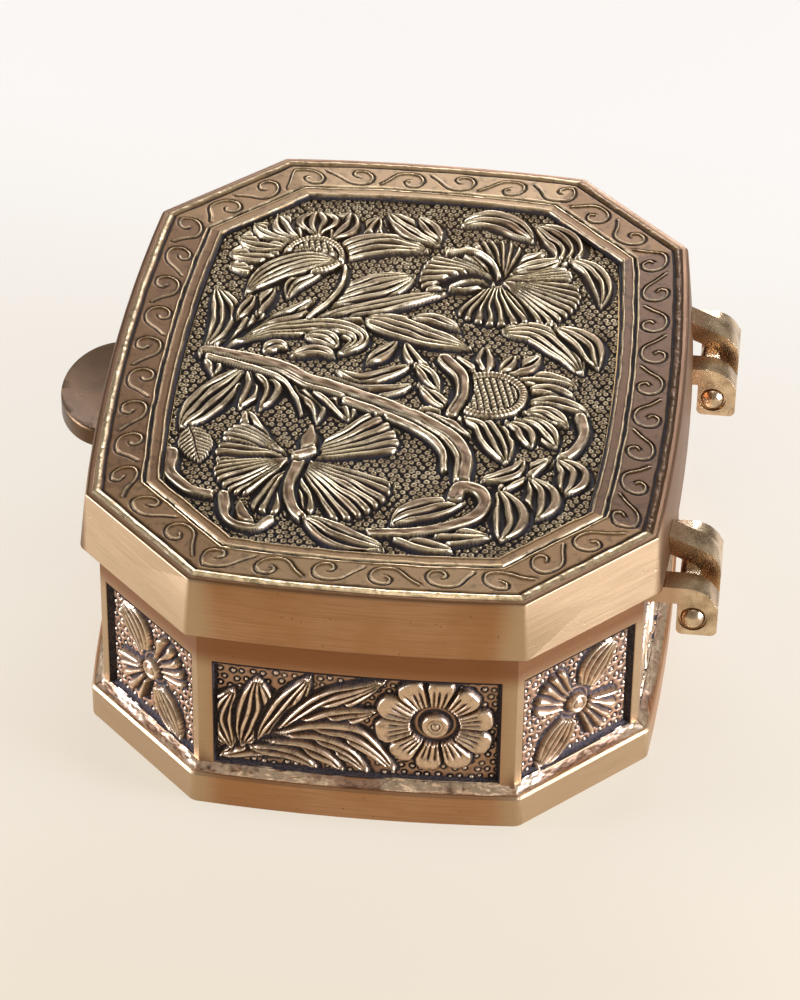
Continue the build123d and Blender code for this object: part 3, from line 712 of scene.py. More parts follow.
FIELD_LEAVES_FAR = (
    (((-19.2, 40.4), (-14, 46.4), (-6.7, 48.6), (2, 46.6)), 3.0, 4, 0.45, 0),
    # leaves along the far edge
    (((4.7, 49.3), (-2.7, 55.3), (-9.3, 61)), 2.5, 3, 0.5, 0),
    (((4.5, 51.5), (2, 56), (-1.8, 60)), 1.7, 2, 0.5, 0),
    (((8.5, 58), (14, 61.4), (20, 60), (26, 53.5)), 2.5, 3, 0.5, 0),
    (((30.5, 43.5), (34, 48.5), (33, 54.5), (25.8, 60)), 3.1, 4, 0.55, 0),
    (((34.5, 47), (40.5, 43.5), (43.6, 36), (43.6, 29)), 2.0, 3, 0.45, 0),
    # left side, from the roots of the stems
    (((-45, 1), (-41.8, 8), (-41, 16), (-45, 26)), 2.7, 4, 0.55, 0),
    (((-41, 3.5), (-36.4, 10), (-35, 17), (-37.6, 25)), 1.9, 1, 0.6, 0),
    (((-34.5, 16), (-33.8, 21), (-31.5, 27)), 1.5, 2, 0.5, 0),
    (((-38.8, 14), (-37.2, 19), (-35.8, 24)), 1.3, 1, 0.5, 0),
    (((-20.5, 36.4), (-24.6, 33), (-27.6, 29), (-28.6, 23.5)), 1.7, 3, 0.5, 0),
    # long blades fanning out over the middle
    (((-40.8, 2), (-33, 11), (-26.5, 18.5), (-21.5, 24.5)), 1.6, 2, 0.5, 0),
    (((-40.5, 2), (-31, 12), (-24, 17), (-17.5, 22.5)), 1.5, 2, 0.5, 0),
    (((-24, 15), (-17, 19.5), (-8, 22.5), (1.5, 24)), 1.7, 3, 0.4, 0),
    (((-19.6, 21), (-14, 26.8), (-6.9, 31.4), (0.4, 36)), 3.5, 3, 0.55, 0),
    (((-22.7, 15.5), (-10.7, 21.4), (-1.3, 26.2), (8.3, 30.6)), 1.9, 3, 0.5, 0),
    (((-26, 12.5), (-17, 15.5), (-8, 16.5), (-2, 19.5), (0.5, 19)), 1.4, 2, 0.4, 0),
    (((-9.4, 17.8), (-1, 15.5), (6, 12.4), (16, 9.2)), 3.0, 3, 0.35, 0),
    (((1, 19.4), (7, 19.4), (12.5, 16)), 1.5, 2, 0.5, 0),
    # right side
    (((22, 17), (30, 18), (37, 11.4), (41.5, 2.5)), 3.3, 4, 0.4, 0),
    (((33.5, 20), (41.4, 15), (44.6, 5)), 2.5, 3, 0.5, 0),
)
DAISY_LEAF = (
    (((-18.4, 39.6), (-26, 39.2), (-33.4, 33.4), (-38.4, 24.4)), 2.9, 5, 0.45, 0),
)
ARCH = (
    (((-41, 2.5), (-31.3, 9.8), (-20, 13.2), (-12.7, 12.4), (-10.3, 8.4), (-14.5, 2.8)), 2.2, 4, 0.62, 0),
    (((-31, 2.6), (-28.5, 5.2), (-25.6, 4.6)), 1.5, 2, 0.5, 0),
    (((-25, 1.5), (-19, 4.4), (-14.5, 2)), 1.6, 2, 0.5, 0),
    (((-22.5, 9.8), (-17.5, 9.2), (-14.5, 5.8)), 1.8, 3, 0.5, 0),
)
# petals that open like fans round a centre: reach in mm, first and last angle, flutes and twist
HIBISCUS_CENTRE = (19.3, 36.7)
HIBISCUS = (
    (17.6, -133, -52, 9, 10), (20.6, -50, 8, 9, -8), (17.4, 8, 26, 4, 0),
    (16.4, 60, 127, 9, 14), (18.6, 128, 188, 8, 16),
)
HIBISCUS_LEAVES = (
    (((20.5, 39.5), (25, 44.5), (29.5, 49)), 1.8, 3, 0.6, 0),
    (((20.8, 39), (26, 42.5), (33, 46.6)), 1.8, 2, 0.6, 0),
)
SEED_FLOWER = (
    (((25.5, -1.8), (33, -0.6), (40.5, -2.6)), 2.1, 3, 0.5, 0),
    (((24, 0.5), (28.5, 4), (31.6, 8)), 2.1, 2, 0.5, 0),
    (((20, 1), (19.2, 5), (18.7, 10)), 1.9, 1, 0.45, 0),
    (((17, 0.5), (14.5, 3.2), (12, 5.6)), 1.6, 1, 0.45, 0),
    (((23, 1), (25, 4.6), (25.6, 7.6)), 1.5, 1, 0.45, 0),
    (((29, -5), (35, -4.6), (40.6, -7)), 1.9, 2, 0.5, 0),
    (((30, -9.8), (37, -9), (44, -12.2)), 1.7, 2, 0.5, 0),
    (((29.6, -13.2), (34.4, -13.2), (40, -17.6)), 2.1, 3, 0.5, 0),
    (((28, -16), (32.8, -18), (38, -25.6)), 2.2, 3, 0.55, 0),
    (((26, -17.6), (29.8, -20), (32.4, -26)), 1.9, 2, 0.55, 0),
    (((5.2, -6.2), (9, -10), (13.6, -14.6)), 1.7, 1, 0.5, 0),
    (((3.5, 1.5), (7, -2.5), (10, -7.5)), 1.8, 1, 0.5, 0),
)
MIDDLE_LEAVES = (
    (((-25, -5.2), (-20.4, -11.5), (-16.2, -16.8), (-15.4, -23)), 1.9, 2, 0.5, 0),
    (((-19.5, -9.6), (-12, -13.6), (-8.4, -21)), 2.5, 2, 0.55, 0),
    (((-14, -2.6), (-8.5, -5.5), (-2.5, -2.5), (3, 1.5)), 1.9, 2, 0.5, 0),
    (((-18.5, -5), (-9, -9.8), (-1, -9), (4.5, -6.2)), 1.9, 2, 0.5, 0),
    (((-7.5, 0.5), (-4.6, 4.5), (-1.4, 9.8)), 1.6, 1, 0.5, 0),
    (((7.5, -0.5), (3.4, 3.5), (0.2, 9.6)), 1.5, 1, 0.5, 0),
    (((4, -15.6), (11, -16), (16, -19), (19.4, -24.4)), 2.1, 2, 0.55, 0),
    (((16.5, -16.6), (22.6, -20), (27.6, -32.6)), 3.0, 2, 0.45, 0),
    (((-45.4, -28.4), (-40.6, -17), (-34, -4.6)), 3.1, 4, 0.5, 0),
    (((-33.4, -5), (-31.6, -12), (-33.6, -19.6)), 1.7, 1, 0.5, 0),
    (((-31.4, -21), (-29.4, -26.4), (-23.6, -32.4)), 1.9, 1, 0.4, 0),
    (((-32, -4.6), (-27.2, -11), (-28.8, -19.6)), 1.7, 2, 0.5, 0),
    (((-44.2, -0.8), (-41.6, -4), (-41, -8)), 1.5, 1, 0.5, 0),
    (((-43.4, -27.6), (-41.4, -33), (-39.4, -39.6)), 2.7, 0, 0.5, 0.8),
)
FAN_FLOWER_CENTRE = (-19.3, -36.0)
FAN_FLOWER = (
    (24.6, 5, 47, 6, 6), (20.6, 274, 299, 3, -6), (20.4, 243, 266, 3, 4), (25.4, 300, 350, 8, -4),
    (18.0, 128, 158, 5, 8), (17.2, 158, 188, 3, 8), (18.2, 190, 242, 8, 0),
)
# each stalk: its points, half width, the share by which it thins, and the depth of its groove
SPRIG = (
    (((42.2, -14), (43.4, -20), (41.6, -26.6), (36.6, -31.4), (30.4, -37.6), (26, -42)), 1.5, 0.5, 0.0),
)
SPRIG_LEAVES = (
    (((37, -29.4), (32.2, -34.4), (25.8, -43.6)), 1.9, 1, 0.5, 0),
    (((31.6, -30.8), (28.4, -36), (22.2, -39.4)), 1.7, 1, 0.5, 0),
    (((38.4, -29.6), (42.2, -34.6), (40.4, -42.4)), 2.7, 2, 0.5, 0),
    (((32.6, -37.2), (36, -43.4), (35.4, -51.6)), 2.9, 2, 0.55, 0),
    (((26.4, -42.2), (29.8, -50.2), (28.8, -60)), 2.9, 2, 0.5, 0),
)
NEAR_END_LEAVES = (
    (((4.6, -57), (9.6, -51.8), (20, -47)), 2.6, 1, 0.5, 0),
    (((2, -59), (14, -60), (27, -58.6)), 2.2, 3, 0.55, 0),
    (((4, -61), (11.6, -63), (19, -64.6)), 1.9, 2, 0.55, 0),
)
LOW_LEAVES = (
    (((-14.6, -56.6), (-6, -62.6), (4.4, -66)), 2.6, 1, 0.5, 0),
    (((-28.8, -53), (-27.8, -57), (-24.6, -60)), 1.2, 1, 0.5, 0),
)
STEMS = (
    # the main stem and the two strands beside it
    (((-43.6, 0.6), (-28, -2.6), (-19, -7.6), (-10, -11), (0, -15.4), (8, -19.4), (14, -24.4), (17.8, -31),
      (18.2, -39)), 2.4, 0.1, 0.5),
    (((-43, -1), (-28, -6), (-22, -13), (-19.6, -20)), 1.0, 0.5, 0.0),
    (((-10, -14), (0, -18.9), (8, -23.6), (12.8, -29.4), (14.2, -36.4)), 1.3, 0.3, 0.0),
    # the daisy's stalk
    (((-18.7, 39.5), (-16.4, 37), (-16.7, 30), (-18.7, 23.5), (-22.7, 16.7)), 0.8, 0.2, 0.0),
)
FAN_FLOWER_STALK = (
    (((-17.8, -37), (-18.8, -46.7), (-16.8, -54), (-10.6, -59.4), (-2, -61)), 1.5, 0.1, 0.0),
)
NEAR_BANDS = (
    # a hooked band, and two bands that bound the near left corner
    (((17.4, -45.6), (18.2, -42.2), (22.2, -43), (24, -48), (21.3, -53.4), (14.6, -57.4), (6, -60),
      (-2, -60.6)), 1.8, 0.35, 0.0),
    (((-46, -37.6), (-45, -44.4), (-39.6, -50.2), (-31.4, -51.6)), 1.7, 0.3, 0.0),
    (((-32.4, -51.4), (-31.2, -57), (-28, -60.8), (-24.2, -61.4), (-21.6, -58.4)), 1.5, 0.2, 0.0),
)


# ---------------------------------------------------------------- the lid's carved field
# the share of its drawn size at which the design is carved
DESIGN_SCALE = 0.965


def field_places(cell, inset):
    """A grid of places (u, v) over the carved field, in mm."""
    ends = corners(inset)
    half_end, half_length = abs(ends[0][1]), abs(ends[0][0])
    half_width, half_side_run = abs(ends[2][1]), abs(ends[2][0])
    q = np.linspace(-1, 1, int(2 * half_length / cell))[:, None]
    p = np.linspace(-1, 1, int(2 * half_width / cell))[None, :]
    v = q * half_length
    bowed = half_width + SIDE_BOW * np.clip(1 - (v / half_side_run) ** 2, 0, 1)
    slope = (half_width - half_end) / (half_length - half_side_run)
    u = p * np.where(np.abs(v) < half_side_run, bowed, half_width - slope * (np.abs(v) - half_side_run))
    v = v + np.sign(q) * END_BOW * np.clip(1 - (u / half_end) ** 2, 0, 1) * q ** 2
    return u, v + 0 * u


def work_leaves(bench, rows, spread=1.52, gap=2.0, **shape):
    """Carves a group of leaves or petals, each tilted a little one way or the other.

    spread widens them all, and gap is the widest that a flute may be, in mm.
    """
    for number, (points, width, ridges, peak, slant) in enumerate(rows):
        flutes = ridges and max(ridges, round(2 * width * spread / gap))
        tilt = 0.22 * math.sin(2.4 * number + 0.6)
        bench.leaf(points, width * spread, flutes, peak, slant=slant, tilt=tilt, **shape)


def work_stems(bench, rows):
    """Carves a group of stalks."""
    for points, width, taper, groove in rows:
        bench.stem(points, width, taper=taper, groove=groove)


def carve_field(u, v):
    """Carves the lid's flowers, leaves and stems over a ground of ring punches, the last on top."""
    bench = Carving(u / DESIGN_SCALE, v / DESIGN_SCALE, seed=3)
    bench.punches(sizes().punch_pitch)
    work_leaves(bench, DAISY, gap=2.7)
    work_leaves(bench, FIELD_LEAVES_FAR, gap=2.2)
    work_leaves(bench, MIDDLE_LEAVES, gap=2.6)
    work_leaves(bench, ARCH)
    work_leaves(bench, SEED_FLOWER, spread=1.4, gap=2.6, stalk=0.6)
    work_stems(bench, STEMS)
    bench.disc((-24.3, 41.6), 5.6, 1.8)
    work_leaves(bench, DAISY_LEAF)
    work_leaves(bench, HIBISCUS_LEAVES)
    for petal in HIBISCUS:
        bench.fan(HIBISCUS_CENTRE, *petal)
    # the hibiscus's stalk, and its pistil in a dark hollow
    bench.stem(((6.6, 46.4), (12.4, 47.8), (17, 44), (19.2, 38.4)), 0.85, taper=0.3, level=0.6, moat=0.8)
    bench.leaf(((19, 36), (12, 37.2), (5.4, 33.4)), 1.7, 0, 0.45, level=-1.0, crown=0.0, rim=0.0)
    bench.leaf(((19.2, 34.8), (14.5, 34.6), (8.2, 32)), 2.2, 0, 0.6, level=0.3, crown=0.5)
    bench.leaf(((17.2, 34.8), (13.5, 34.4), (10, 32.8)), 0.7, 0, 0.6, level=-0.7, crown=0.0, rim=0.0)
    # the seed flower's disc and the band that curls round it
    bench.disc((21.4, -8.2), 6.4, 2.4)
    bench.stem(((10, 4.4), (14.2, -1.6), (15.2, -8), (13.6, -15.4)), 1.9, taper=0.2, groove=0.25)
    work_leaves(bench, NEAR_END_LEAVES, gap=2.8)
    work_stems(bench, SPRIG)
    work_leaves(bench, SPRIG_LEAVES, gap=3.0)
    work_stems(bench, NEAR_BANDS)
    for petal in FAN_FLOWER:
        bench.fan(FAN_FLOWER_CENTRE, *petal)
    work_stems(bench, FAN_FLOWER_STALK)
    work_leaves(bench, LOW_LEAVES, gap=2.8)
    # the fan flower's bud and the knot at its middle
    bench.leaf(((-17, -34), (-16.4, -30), (-16.4, -24.6)), 2.4, 1, 0.5)
    bench.stem(((-18.4, -35.4), (-15.4, -33.4)), 1.4, taper=0.1, level=0.5)
    return bench


class PAANBOX_OT_lid_field(bpy.types.Operator):
    """Carve the sunken field of the lid"""

    bl_idname = "paanbox.lid_field"
    bl_label = "Carved field"

    def execute(self, context):
        cell = sizes().field_cell
        u, v = field_places(cell, FIELD_INSET + FIELD_GAP)
        bench = carve_field(u, v)
        height = bench.height
        z = FIELD_LEVEL + sizes().field_depth * height
        places = np.stack([-v, u, z], axis=-1)
        back = np.stack([-v, u, np.full_like(z, FIELD_BACK)], axis=-1)
        marks = wear_highlight_and_grime(height, cell, punch=bench.punch)
        # less of the black is left towards the far end, a painted reflection that lightens the field there
        marks["grime"] = marks["grime"] * (1 - 0.3 * step(5, 60, v))
        for name, mesh in carved_sheets("lid_field_carving", places, back, marks, parts=4):
            new_piece(name, mesh, "lid", "carved_brass", carved_finish(), "lid_carved_panel")
        return {"FINISHED"}


# ---------------------------------------------------------------- the lid's scroll border
BORDER_MIDDLE = 7.5
# one scroll, a hooked curl and its tail, in mm along and across the border at a pitch of SCROLL_PITCH
SCROLL = (
    (1.0, 0.0), (2.4, -1.2), (1.2, -2.8), (-1.6, -2.6), (-3.3, -0.4), (-2.2, 2.2), (1.0, 3.3), (4.8, 2.6),
    (8.2, -0.6), (11.2, -2.9),
)
SCROLL_PITCH = 15.5
SCROLL_LINE = 7.75
SCROLL_LENGTH = 0.92
SCROLL_HEIGHT = 0.85
SCROLL_COUNT = 38
# fine lines along the border: distance from the lid's edge and height, in mm
BORDER_LINES = ((3.45, -0.4), (11.55, 0.14), (12.7, 0.14), (14.8, 0.16))


def scroll(start, pitch, flip):
    """One chased scroll of the border, as (run, inset) points."""
    along = SCROLL_LENGTH * pitch / SCROLL_PITCH
    return [(start + 0.5 + along * x, SCROLL_LINE + SCROLL_HEIGHT * flip * (y - 0.2)) for x, y in SCROLL]


def side_runs():
    """Where each side starts and ends along the middle of the border, in mm from the first corner."""
    points = corners(BORDER_MIDDLE)
    lengths = np.linalg.norm(np.roll(points, -1, axis=0) - points, axis=1)
    return np.concatenate([[0], np.cumsum(lengths)])


def all_scrolls():
    """The scrolls of the whole border, with their curls on alternate sides, and their numbers."""
    pitch = side_runs()[-1] / SCROLL_COUNT
    return [(scroll(k * pitch, pitch, 1 if k % 2 else -1), k) for k in range(SCROLL_COUNT)]


def carve_border(run, inset, scrolls):
    """Scrolls and frame lines of the border over a smooth ground: heights in mm."""
    bench = Carving(run, inset, seed=5, wobble=0.12)
    total = side_runs()[-1]
    for points, k in scrolls:
        for shift in (-total, 0, total):
            moved = [(x + shift, y) for x, y in points]
            bench.ridge_line(moved, 0.24, 0.26, 0.36, 1 if k % 2 else -1)
    y = bench.y + 0.12 * soft_noise(run / 3.1, inset, 9)
    height = bench.height
    # the bevelled edge and its rough bead
    rough = soft_noise(run / 0.7, inset / 0.6, 4) + soft_noise(run / 1.9, inset / 1.2, 6)
    height -= 0.45 * step(2.2, 0.3, y)
    height += (0.32 + 0.07 * rough) * np.exp(-((y - 2.3) / 0.75) ** 2)
    # the groove beside the field, the drop into it, and the fine lines
    height -= 0.75 * step(0.42, 0.2, np.abs(y - 12.1))
    height -= 0.8 * step(15.1, 15.4, y)
    for line, rise in BORDER_LINES:
        height += rise * np.exp(-((y - line) / 0.2) ** 2)
    return height + 0.05


class PAANBOX_OT_lid_border(bpy.types.Operator):
    """Chase the scroll border round the lid, one strip to each side"""

    bl_idname = "paanbox.lid_border"
    bl_label = "Scroll border"

    def execute(self, context):
        cell = sizes().border_cell
        runs = side_runs()
        scrolls = all_scrolls()
        inset = np.linspace(SEAM_INSET, FIELD_INSET, int((FIELD_INSET - SEAM_INSET) / cell))
        for side, side_name in enumerate(SIDE_NAMES):
            length = runs[side + 1] - runs[side]
            share = np.linspace(0, 1, int(length / cell))
            grid_inset, grid_share = np.meshgrid(inset, share, indexing="ij")
            run = runs[side] + grid_share * length
            height = carve_border(run, grid_inset, scrolls)
            flat = side_point(side, grid_share, grid_inset)
            height[0] = -0.3
            places = np.dstack([flat, LID_TOP + height])
            back = np.dstack([flat, np.full_like(height, FIELD_BACK)])
            marks = wear_highlight_and_grime(height, cell, reach=0.8, datum=0.0)
            rubbed = EDGE_WEAR[side] * np.exp(-((grid_inset - 2.0) / 0.9) ** 4)
            marks["worn"] = np.maximum(marks["worn"], rubbed)
            for name, mesh in carved_sheets("lid_border_" + side_name, places, back, marks):
                new_piece(name, mesh, "lid", "engraved_brass", border_finish(side_name), "lid_plate")
        return {"FINISHED"}


class PAANBOX_OT_lid_under_plate(bpy.types.Operator):
    """Make the plain plate that backs the lid's border and field"""

    bl_idname = "paanbox.lid_under_plate"
    bl_label = "Lid's under plate"

    def execute(self, context):
        share = np.linspace(0, 1, 12, endpoint=False)
        ring = [side_point(side, share, np.full_like(share, PLATE_INSET)) for side in range(8)]
        bm = bmesh.new()
        rim = [bm.verts.new((x * MM, y * MM, PLATE_BOTTOM * MM)) for x, y in np.vstack(ring)]
        face = bm.faces.new(rim)
        rise = bmesh.ops.extrude_face_region(bm, geom=[face])["geom"]
        top = [part for part in rise if isinstance(part, bmesh.types.BMVert)]
        height = (FIELD_BACK + SEAM_CLEARANCE - PLATE_BOTTOM) * MM
        bmesh.ops.translate(bm, verts=top, vec=(0, 0, height))
        bmesh.ops.recalc_face_normals(bm, faces=bm.faces)
        mesh = bpy.data.meshes.new("lid_under_plate")
        bm.to_mesh(mesh)
        bm.free()
        new_piece("lid_under_plate", mesh, "lid", "engraved_brass", sheet_finish(), "lid_plate")
        return {"FINISHED"}


# ---------------------------------------------------------------- carved wall panels
# how far the standing metal of a wall panel is rubbed bright by handling
END_HANDLED = 0.68
SIDE_HANDLED = 0.45

# each leaf of the spray: its points from its root, half width and flutes
SPRAY_LEAVES = (
    (((-29.5, 1.5), (-22, 4.6), (-13, 3.4)), 1.9, 3),
    (((-26.5, 4), (-28.4, 12), (-25.6, 20.5)), 3.3, 5),
    (((-24.5, 5), (-21, 14), (-20.6, 24.2)), 3.6, 5),
    (((-21, 6.5), (-15.6, 15), (-9.6, 25.6)), 2.6, 4),
    (((-18, 8), (-8, 17.4), (6.4, 26.6)), 2.5, 4),
    (((-16, 9), (-6, 14.4), (4.6, 18)), 2.1, 3),
    (((-19, 7.8), (-8, 10.8), (1, 9.6), (8.5, 2)), 2.5, 3),
    (((-20, 6.8), (-9.6, 8), (-2.6, 6), (3, 0.8)), 1.9, 3),
    (((-21, 6), (-12, 6.2), (-6, 4), (-2.4, 0.6)), 1.6, 2),
    (((-23, 4.6), (-15, 4.4), (-10.5, 2.8), (-8, 0.6)), 1.3, 2),
)


def flower_and_spray(bench, shift=0.0, turn=1):
    """A round flower and its spray of leaves, as on the ends of the box."""
    def place(points):
        return [(shift + turn * x, y) for x, y in points]

    for points, width, ridges in SPRAY_LEAVES:
        bench.leaf(place(points), width * 1.3, ridges, 0.5, level=0.3, crown=0.12, groove=1.2, gouge=0.25)
    centre = place([(16.5, 15.2)])[0]
    petals = 10
    for k in range(petals):
        first = 360 * (k - 0.2) / petals
        bench.fan(centre, 12.6 + 0.35 * math.sin(5.1 * k), first + 0.6, first + 360 / petals - 0.6, 4,
                  level=0.3, crown=0.15, groove=0.8, moat=0.25, scallop=0.0, notch=0.24, gouge=0.15,
                  run_out=0.88)
    bench.disc(centre, 4.6, level=-0.8, dome=0.0, cells=0)
    bench.disc(centre, 3.1, level=0.5, dome=0.15, cells=0)
    bench.groove_ring(centre, 1.7, 0.22, 0.4)
    bench.groove_ring(centre, 0.95, 0.22, 0.5)


def four_petals(bench, turn=1):
    """Two long fluted petals and two blunt gouged ones round an oval boss, as on the corners."""
    centre = (0.0, 13.4)
    for middle in (140, -40):
        middle = middle if turn > 0 else 180 - middle
        bench.fan(centre, 12.6, middle - 34, middle + 34, 5, level=0.3, crown=0.2, moat=0.4,
                  scallop=0.06, gouge=0.24)
    for degrees in (51, 231):
        angle = math.radians(degrees if turn > 0 else 180 - degrees)
        along = np.array([math.cos(angle), math.sin(angle)])
        root, tip = centre + 2.2 * along, centre + 16.8 * along
        bend = (root + tip) / 2 + 0.9 * turn * np.array([-along[1], along[0]])
        bench.leaf((root, bend, tip), 4.4, 5, 0.5, blunt=0.95, stalk=1.6, moat=0.3, crown=0.2, gouge=0.26)
    bench.disc(centre, 3.7, level=-0.8, dome=0.0, cells=0)
    bench.disc(centre, 2.5, level=0.45, dome=0.3, cells=0)
    bench.groove_ring(centre, 1.3, 0.25, 0.55)


def carve_wall(side_name, run, rise):
    """Carves one wall panel over a ground of ring punches, sunk along its edges."""
    bench = Carving(run, rise, seed=11 + SIDE_NAMES.index(side_name), wobble=0.2)
    bench.punches(2.3, ground=-0.75, ring=-0.3, dot=0.25, between=0.0)
    if side_name.startswith("corner"):
        four_petals(bench, 1 if side_name in ("corner_back_right", "corner_front_left") else -1)
    elif side_name.startswith("end"):
        flower_and_spray(bench)
    else:
        flower_and_spray(bench, shift=-18.5)
        flower_and_spray(bench, shift=18.5, turn=-1)
    # a black cut runs round the panel, wide at its ends, and the sheet comes up to the frame there
    ends, sides = np.minimum(run - run.min(), run.max() - run), np.minimum(rise, rise.max() - rise)
    sunk = np.maximum(step(0.95, 0.7, ends), step(0.6, 0.35, sides))
    bench.height = bench.height * (1 - sunk) - PANEL_CUT * sunk
    brim = np.minimum(ends, sides) < 0.1
    bench.height = np.where(brim, PANEL_BRIM, bench.height)
    bench.punch = np.where(sunk > 0.2, 0.0, bench.punch)
    return bench


class PAANBOX_OT_wall_panels(bpy.types.Operator):
    """Carve the panels in the windows of the eight walls"""

    bl_idname = "paanbox.wall_panels"
    bl_label = "Carved wall panels"

    def execute(self, context):
        cell = sizes().wall_cell
        points = corners(WALL_INSET)
        lengths = np.linalg.norm(np.roll(points, -1, axis=0) - points, axis=1)
        for side, side_name in enumerate(SIDE_NAMES):
            low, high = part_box("relief_" + side_name)
            bottom, top = low[2] / MM, high[2] / MM
            half = lengths[side] / 2 - WINDOW_ENDS[side]
            run = np.linspace(-half, half, int(2 * half / cell))
            rise = np.linspace(bottom, top, int((top - bottom) / cell))
            grid_rise, grid_run = np.meshgrid(rise, run, indexing="ij")
            bench = carve_wall(side_name, grid_run, grid_rise - bottom)
            height = bench.height
            share = 0.5 + grid_run / lengths[side]
            front = side_point(side, share, np.full_like(share, WALL_INSET))
            middle = [side_point(side, np.array([0.5]), np.array([WALL_INSET + away]))[0] for away in (0, 1)]
            inward = middle[1] - middle[0]
            depth = RELIEF_RECESS - sizes().wall_depth * height
            places = np.dstack([front + inward * depth[..., None], grid_rise])
            back = np.dstack([front + inward * WINDOW_DEPTH, grid_rise])
            marks = wear_highlight_and_grime(height, cell, datum=0.75, punch=bench.punch)
            handled = END_HANDLED if side_name.startswith("end") else SIDE_HANDLED
            marks["worn"] = np.maximum(marks["worn"], handled * step(0.1, 0.35, height))
            marks["grime"][[0, -1]] = marks["grime"][:, [0, -1]] = 1.0
            marks["worn"][[0, -1]] = marks["worn"][:, [0, -1]] = 0.0
            for name, mesh in carved_sheets(side_name + "_carving", places, back, marks):
                new_piece(name, mesh, "box", "carved_brass", wall_finish(), "relief_" + side_name)
        return {"FINISHED"}


class PAANBOX_OT_braze(bpy.types.Operator):
    """Lay the rough bead of braze along the foot of each wall"""

    bl_idname = "paanbox.braze"
    bl_label = "Braze along the foot"

    def execute(self, context):
        cell = sizes().wall_cell
        points = corners(FOOT_INSET)
        lengths = np.linalg.norm(np.roll(points, -1, axis=0) - points, axis=1)
        for side, side_name in enumerate(SIDE_NAMES):
            share = np.linspace(0, 1, int(lengths[side] / cell))
            climb = np.linspace(0, 1, int(BRAZE_RUN / cell) + 6)
            rise, along = np.meshgrid(climb, share, indexing="ij")
            run = along * lengths[side] + 40 * side
            lumps = sum(soft_noise(run / size / 2.2, rise * BRAZE_RUN / size, 20 + side) * size ** 0.7
                        for size in (0.3, 0.6, 1.4, 4.0))
            height = 0.13 * lumps * np.sin(np.pi * np.clip(rise, 0.04, 0.9)) ** 0.6
            inset = FOOT_INSET + FOOT_EDGE + rise * BRAZE_RUN
            flat = side_point(side, along, inset)
            level = FOOT_TOP + BRAZE_LAP + (BRAZE_RISE + 0.1 * lumps) * rise ** 1.4 + height
            places = np.dstack([flat, level])
            back = np.dstack([flat, np.full_like(level, FOOT_TOP - BRAZE_SINK)])
            marks = wear_highlight_and_grime(height * 2.4, cell, reach=0.7, datum=0.9)
            # a painted highlight brightens the braze's higher lumps, and less black is left, as if lit from
            # above
            marks["worn"] = np.maximum(marks["worn"], 0.85 * step(-0.12, 0.08, height))
            marks["grime"] = 0.6 * marks["grime"]
            for name, mesh in carved_sheets(side_name + "_braze", places, back, marks):
                new_piece(name, mesh, "box", "cast_brass", wall_finish())
        return {"FINISHED"}


# ---------------------------------------------------------------- finishes of the fixed metal
def sheet_finish():
    """Plain sheet brass of the tray and pots, rolled smooth."""
    c = colours()
    return finish_of("rolled_sheet_brass", brushed_brass, c.sheet, dimmed(c.sheet, 0.85), stretch=(1, 0.2, 1),
                     rough=(0.3, 0.45))


def highlit_corners(reach):
    """A painted highlight that pales the cut corners, out to reach mm along X and Y together."""
    return TO_CORNERS, reach - 6.0, reach, 1.0, tuple(colours().rubbed)


def brushed_finish():
    """The foot, filed and drawn over emery along its faces, with a painted highlight paling its cut corners.
    """
    c = colours()
    return finish_of("brushed_cast_brass", brushed_brass, c.brushed, c.brushed_tint, stretch=(40, 40, 1),
                     stains=(highlit_corners(CORNER_REACH),))


def rim_finish():
    """The lid's rim, brushed like the foot, darker brown on its top face, with painted shade darkening its
    long sides and a painted highlight on its cut corners.
    """
    c = colours()
    brown = dimmed(c.brushed, 0.365)
    stains = (
        # a painted highlight on the cut corners
        highlit_corners(CORNER_REACH),
        (UP, LID_TOP - 0.4, LID_TOP - 0.1, 0.85, brown),
        # painted shade that darkens the rim's long sides
        (ACROSS, LID_WIDTH / 2 - 0.5, LID_WIDTH / 2 + 1.0, 0.85, brown),
    )
    return finish_of("brushed_rim_brass", brushed_brass, c.brushed, c.brushed_tint, stretch=(40, 40, 1),
                     stains=stains)


def shaded_wall_finish():
    """The walls, brushed like the foot, with painted shade turning them red-brown below the lid's edge,
    a painted highlight at the corners, and clean where the lid covers them.
    """
    c = colours()
    stains = (
        # a painted highlight on the cut corners of the walls
        highlit_corners(CORNER_REACH - WALL_INSET * math.sqrt(2)),
        # painted shade, red-brown, under the overhang of the lid's rim
        (UP, LID_BOTTOM - 12.0, LID_BOTTOM - 6.0, 0.85, dimmed(c.brushed, 0.58, 0.46, 0.42)),
        (UP, LID_BOTTOM + 1.0, LID_BOTTOM + 6.0, 0.9, tuple(c.rubbed)),
    )
    return finish_of("tarnished_cast_brass", brushed_brass, c.brushed, c.brushed_tint, stretch=(40, 40, 1),
                     stains=stains)


def hinge_finish():
    """Cast hinges and pins, pale brass mottled with dark brown, with painted shadow browning them
    near the lid.
    """
    c = colours()
    # a painted shadow that browns the hinges towards the lid
    brown = dimmed(c.hinge, 0.58, 0.46, 0.42)
    return finish_of("worn_cast_brass", brushed_brass, c.hinge, dimmed(c.hinge, 0.2, 0.13, 0.08),
                     rough=(0.16, 0.36), patches=6.0,
                     stains=((ACROSS, LID_WIDTH / 2 + 8.0, LID_WIDTH / 2 + 3.0, 0.85, brown),))


def tab_finish():
    """The thumb tab, brown and dull from handling."""
    c = colours()
    return finish_of("handled_cast_brass", brushed_brass, c.tab, dimmed(c.tab, 0.6), rough=(0.3, 0.45),
                     patches=7.0)


# how far the edges of the fixed metal are rounded, in mm, by the start of the node's name; an
# edge is rounded where its faces turn by more than SHARP_TURN degrees
SHARP_TURN = 30
ROUNDING_STEPS = 3
WELD_REACH = 0.01
SOFTENED = {"lid_rim": 0.7, "foot_band": 0.6, "thumb_tab": 1.6, "hinge_": 0.35, "wall_": 0.25}


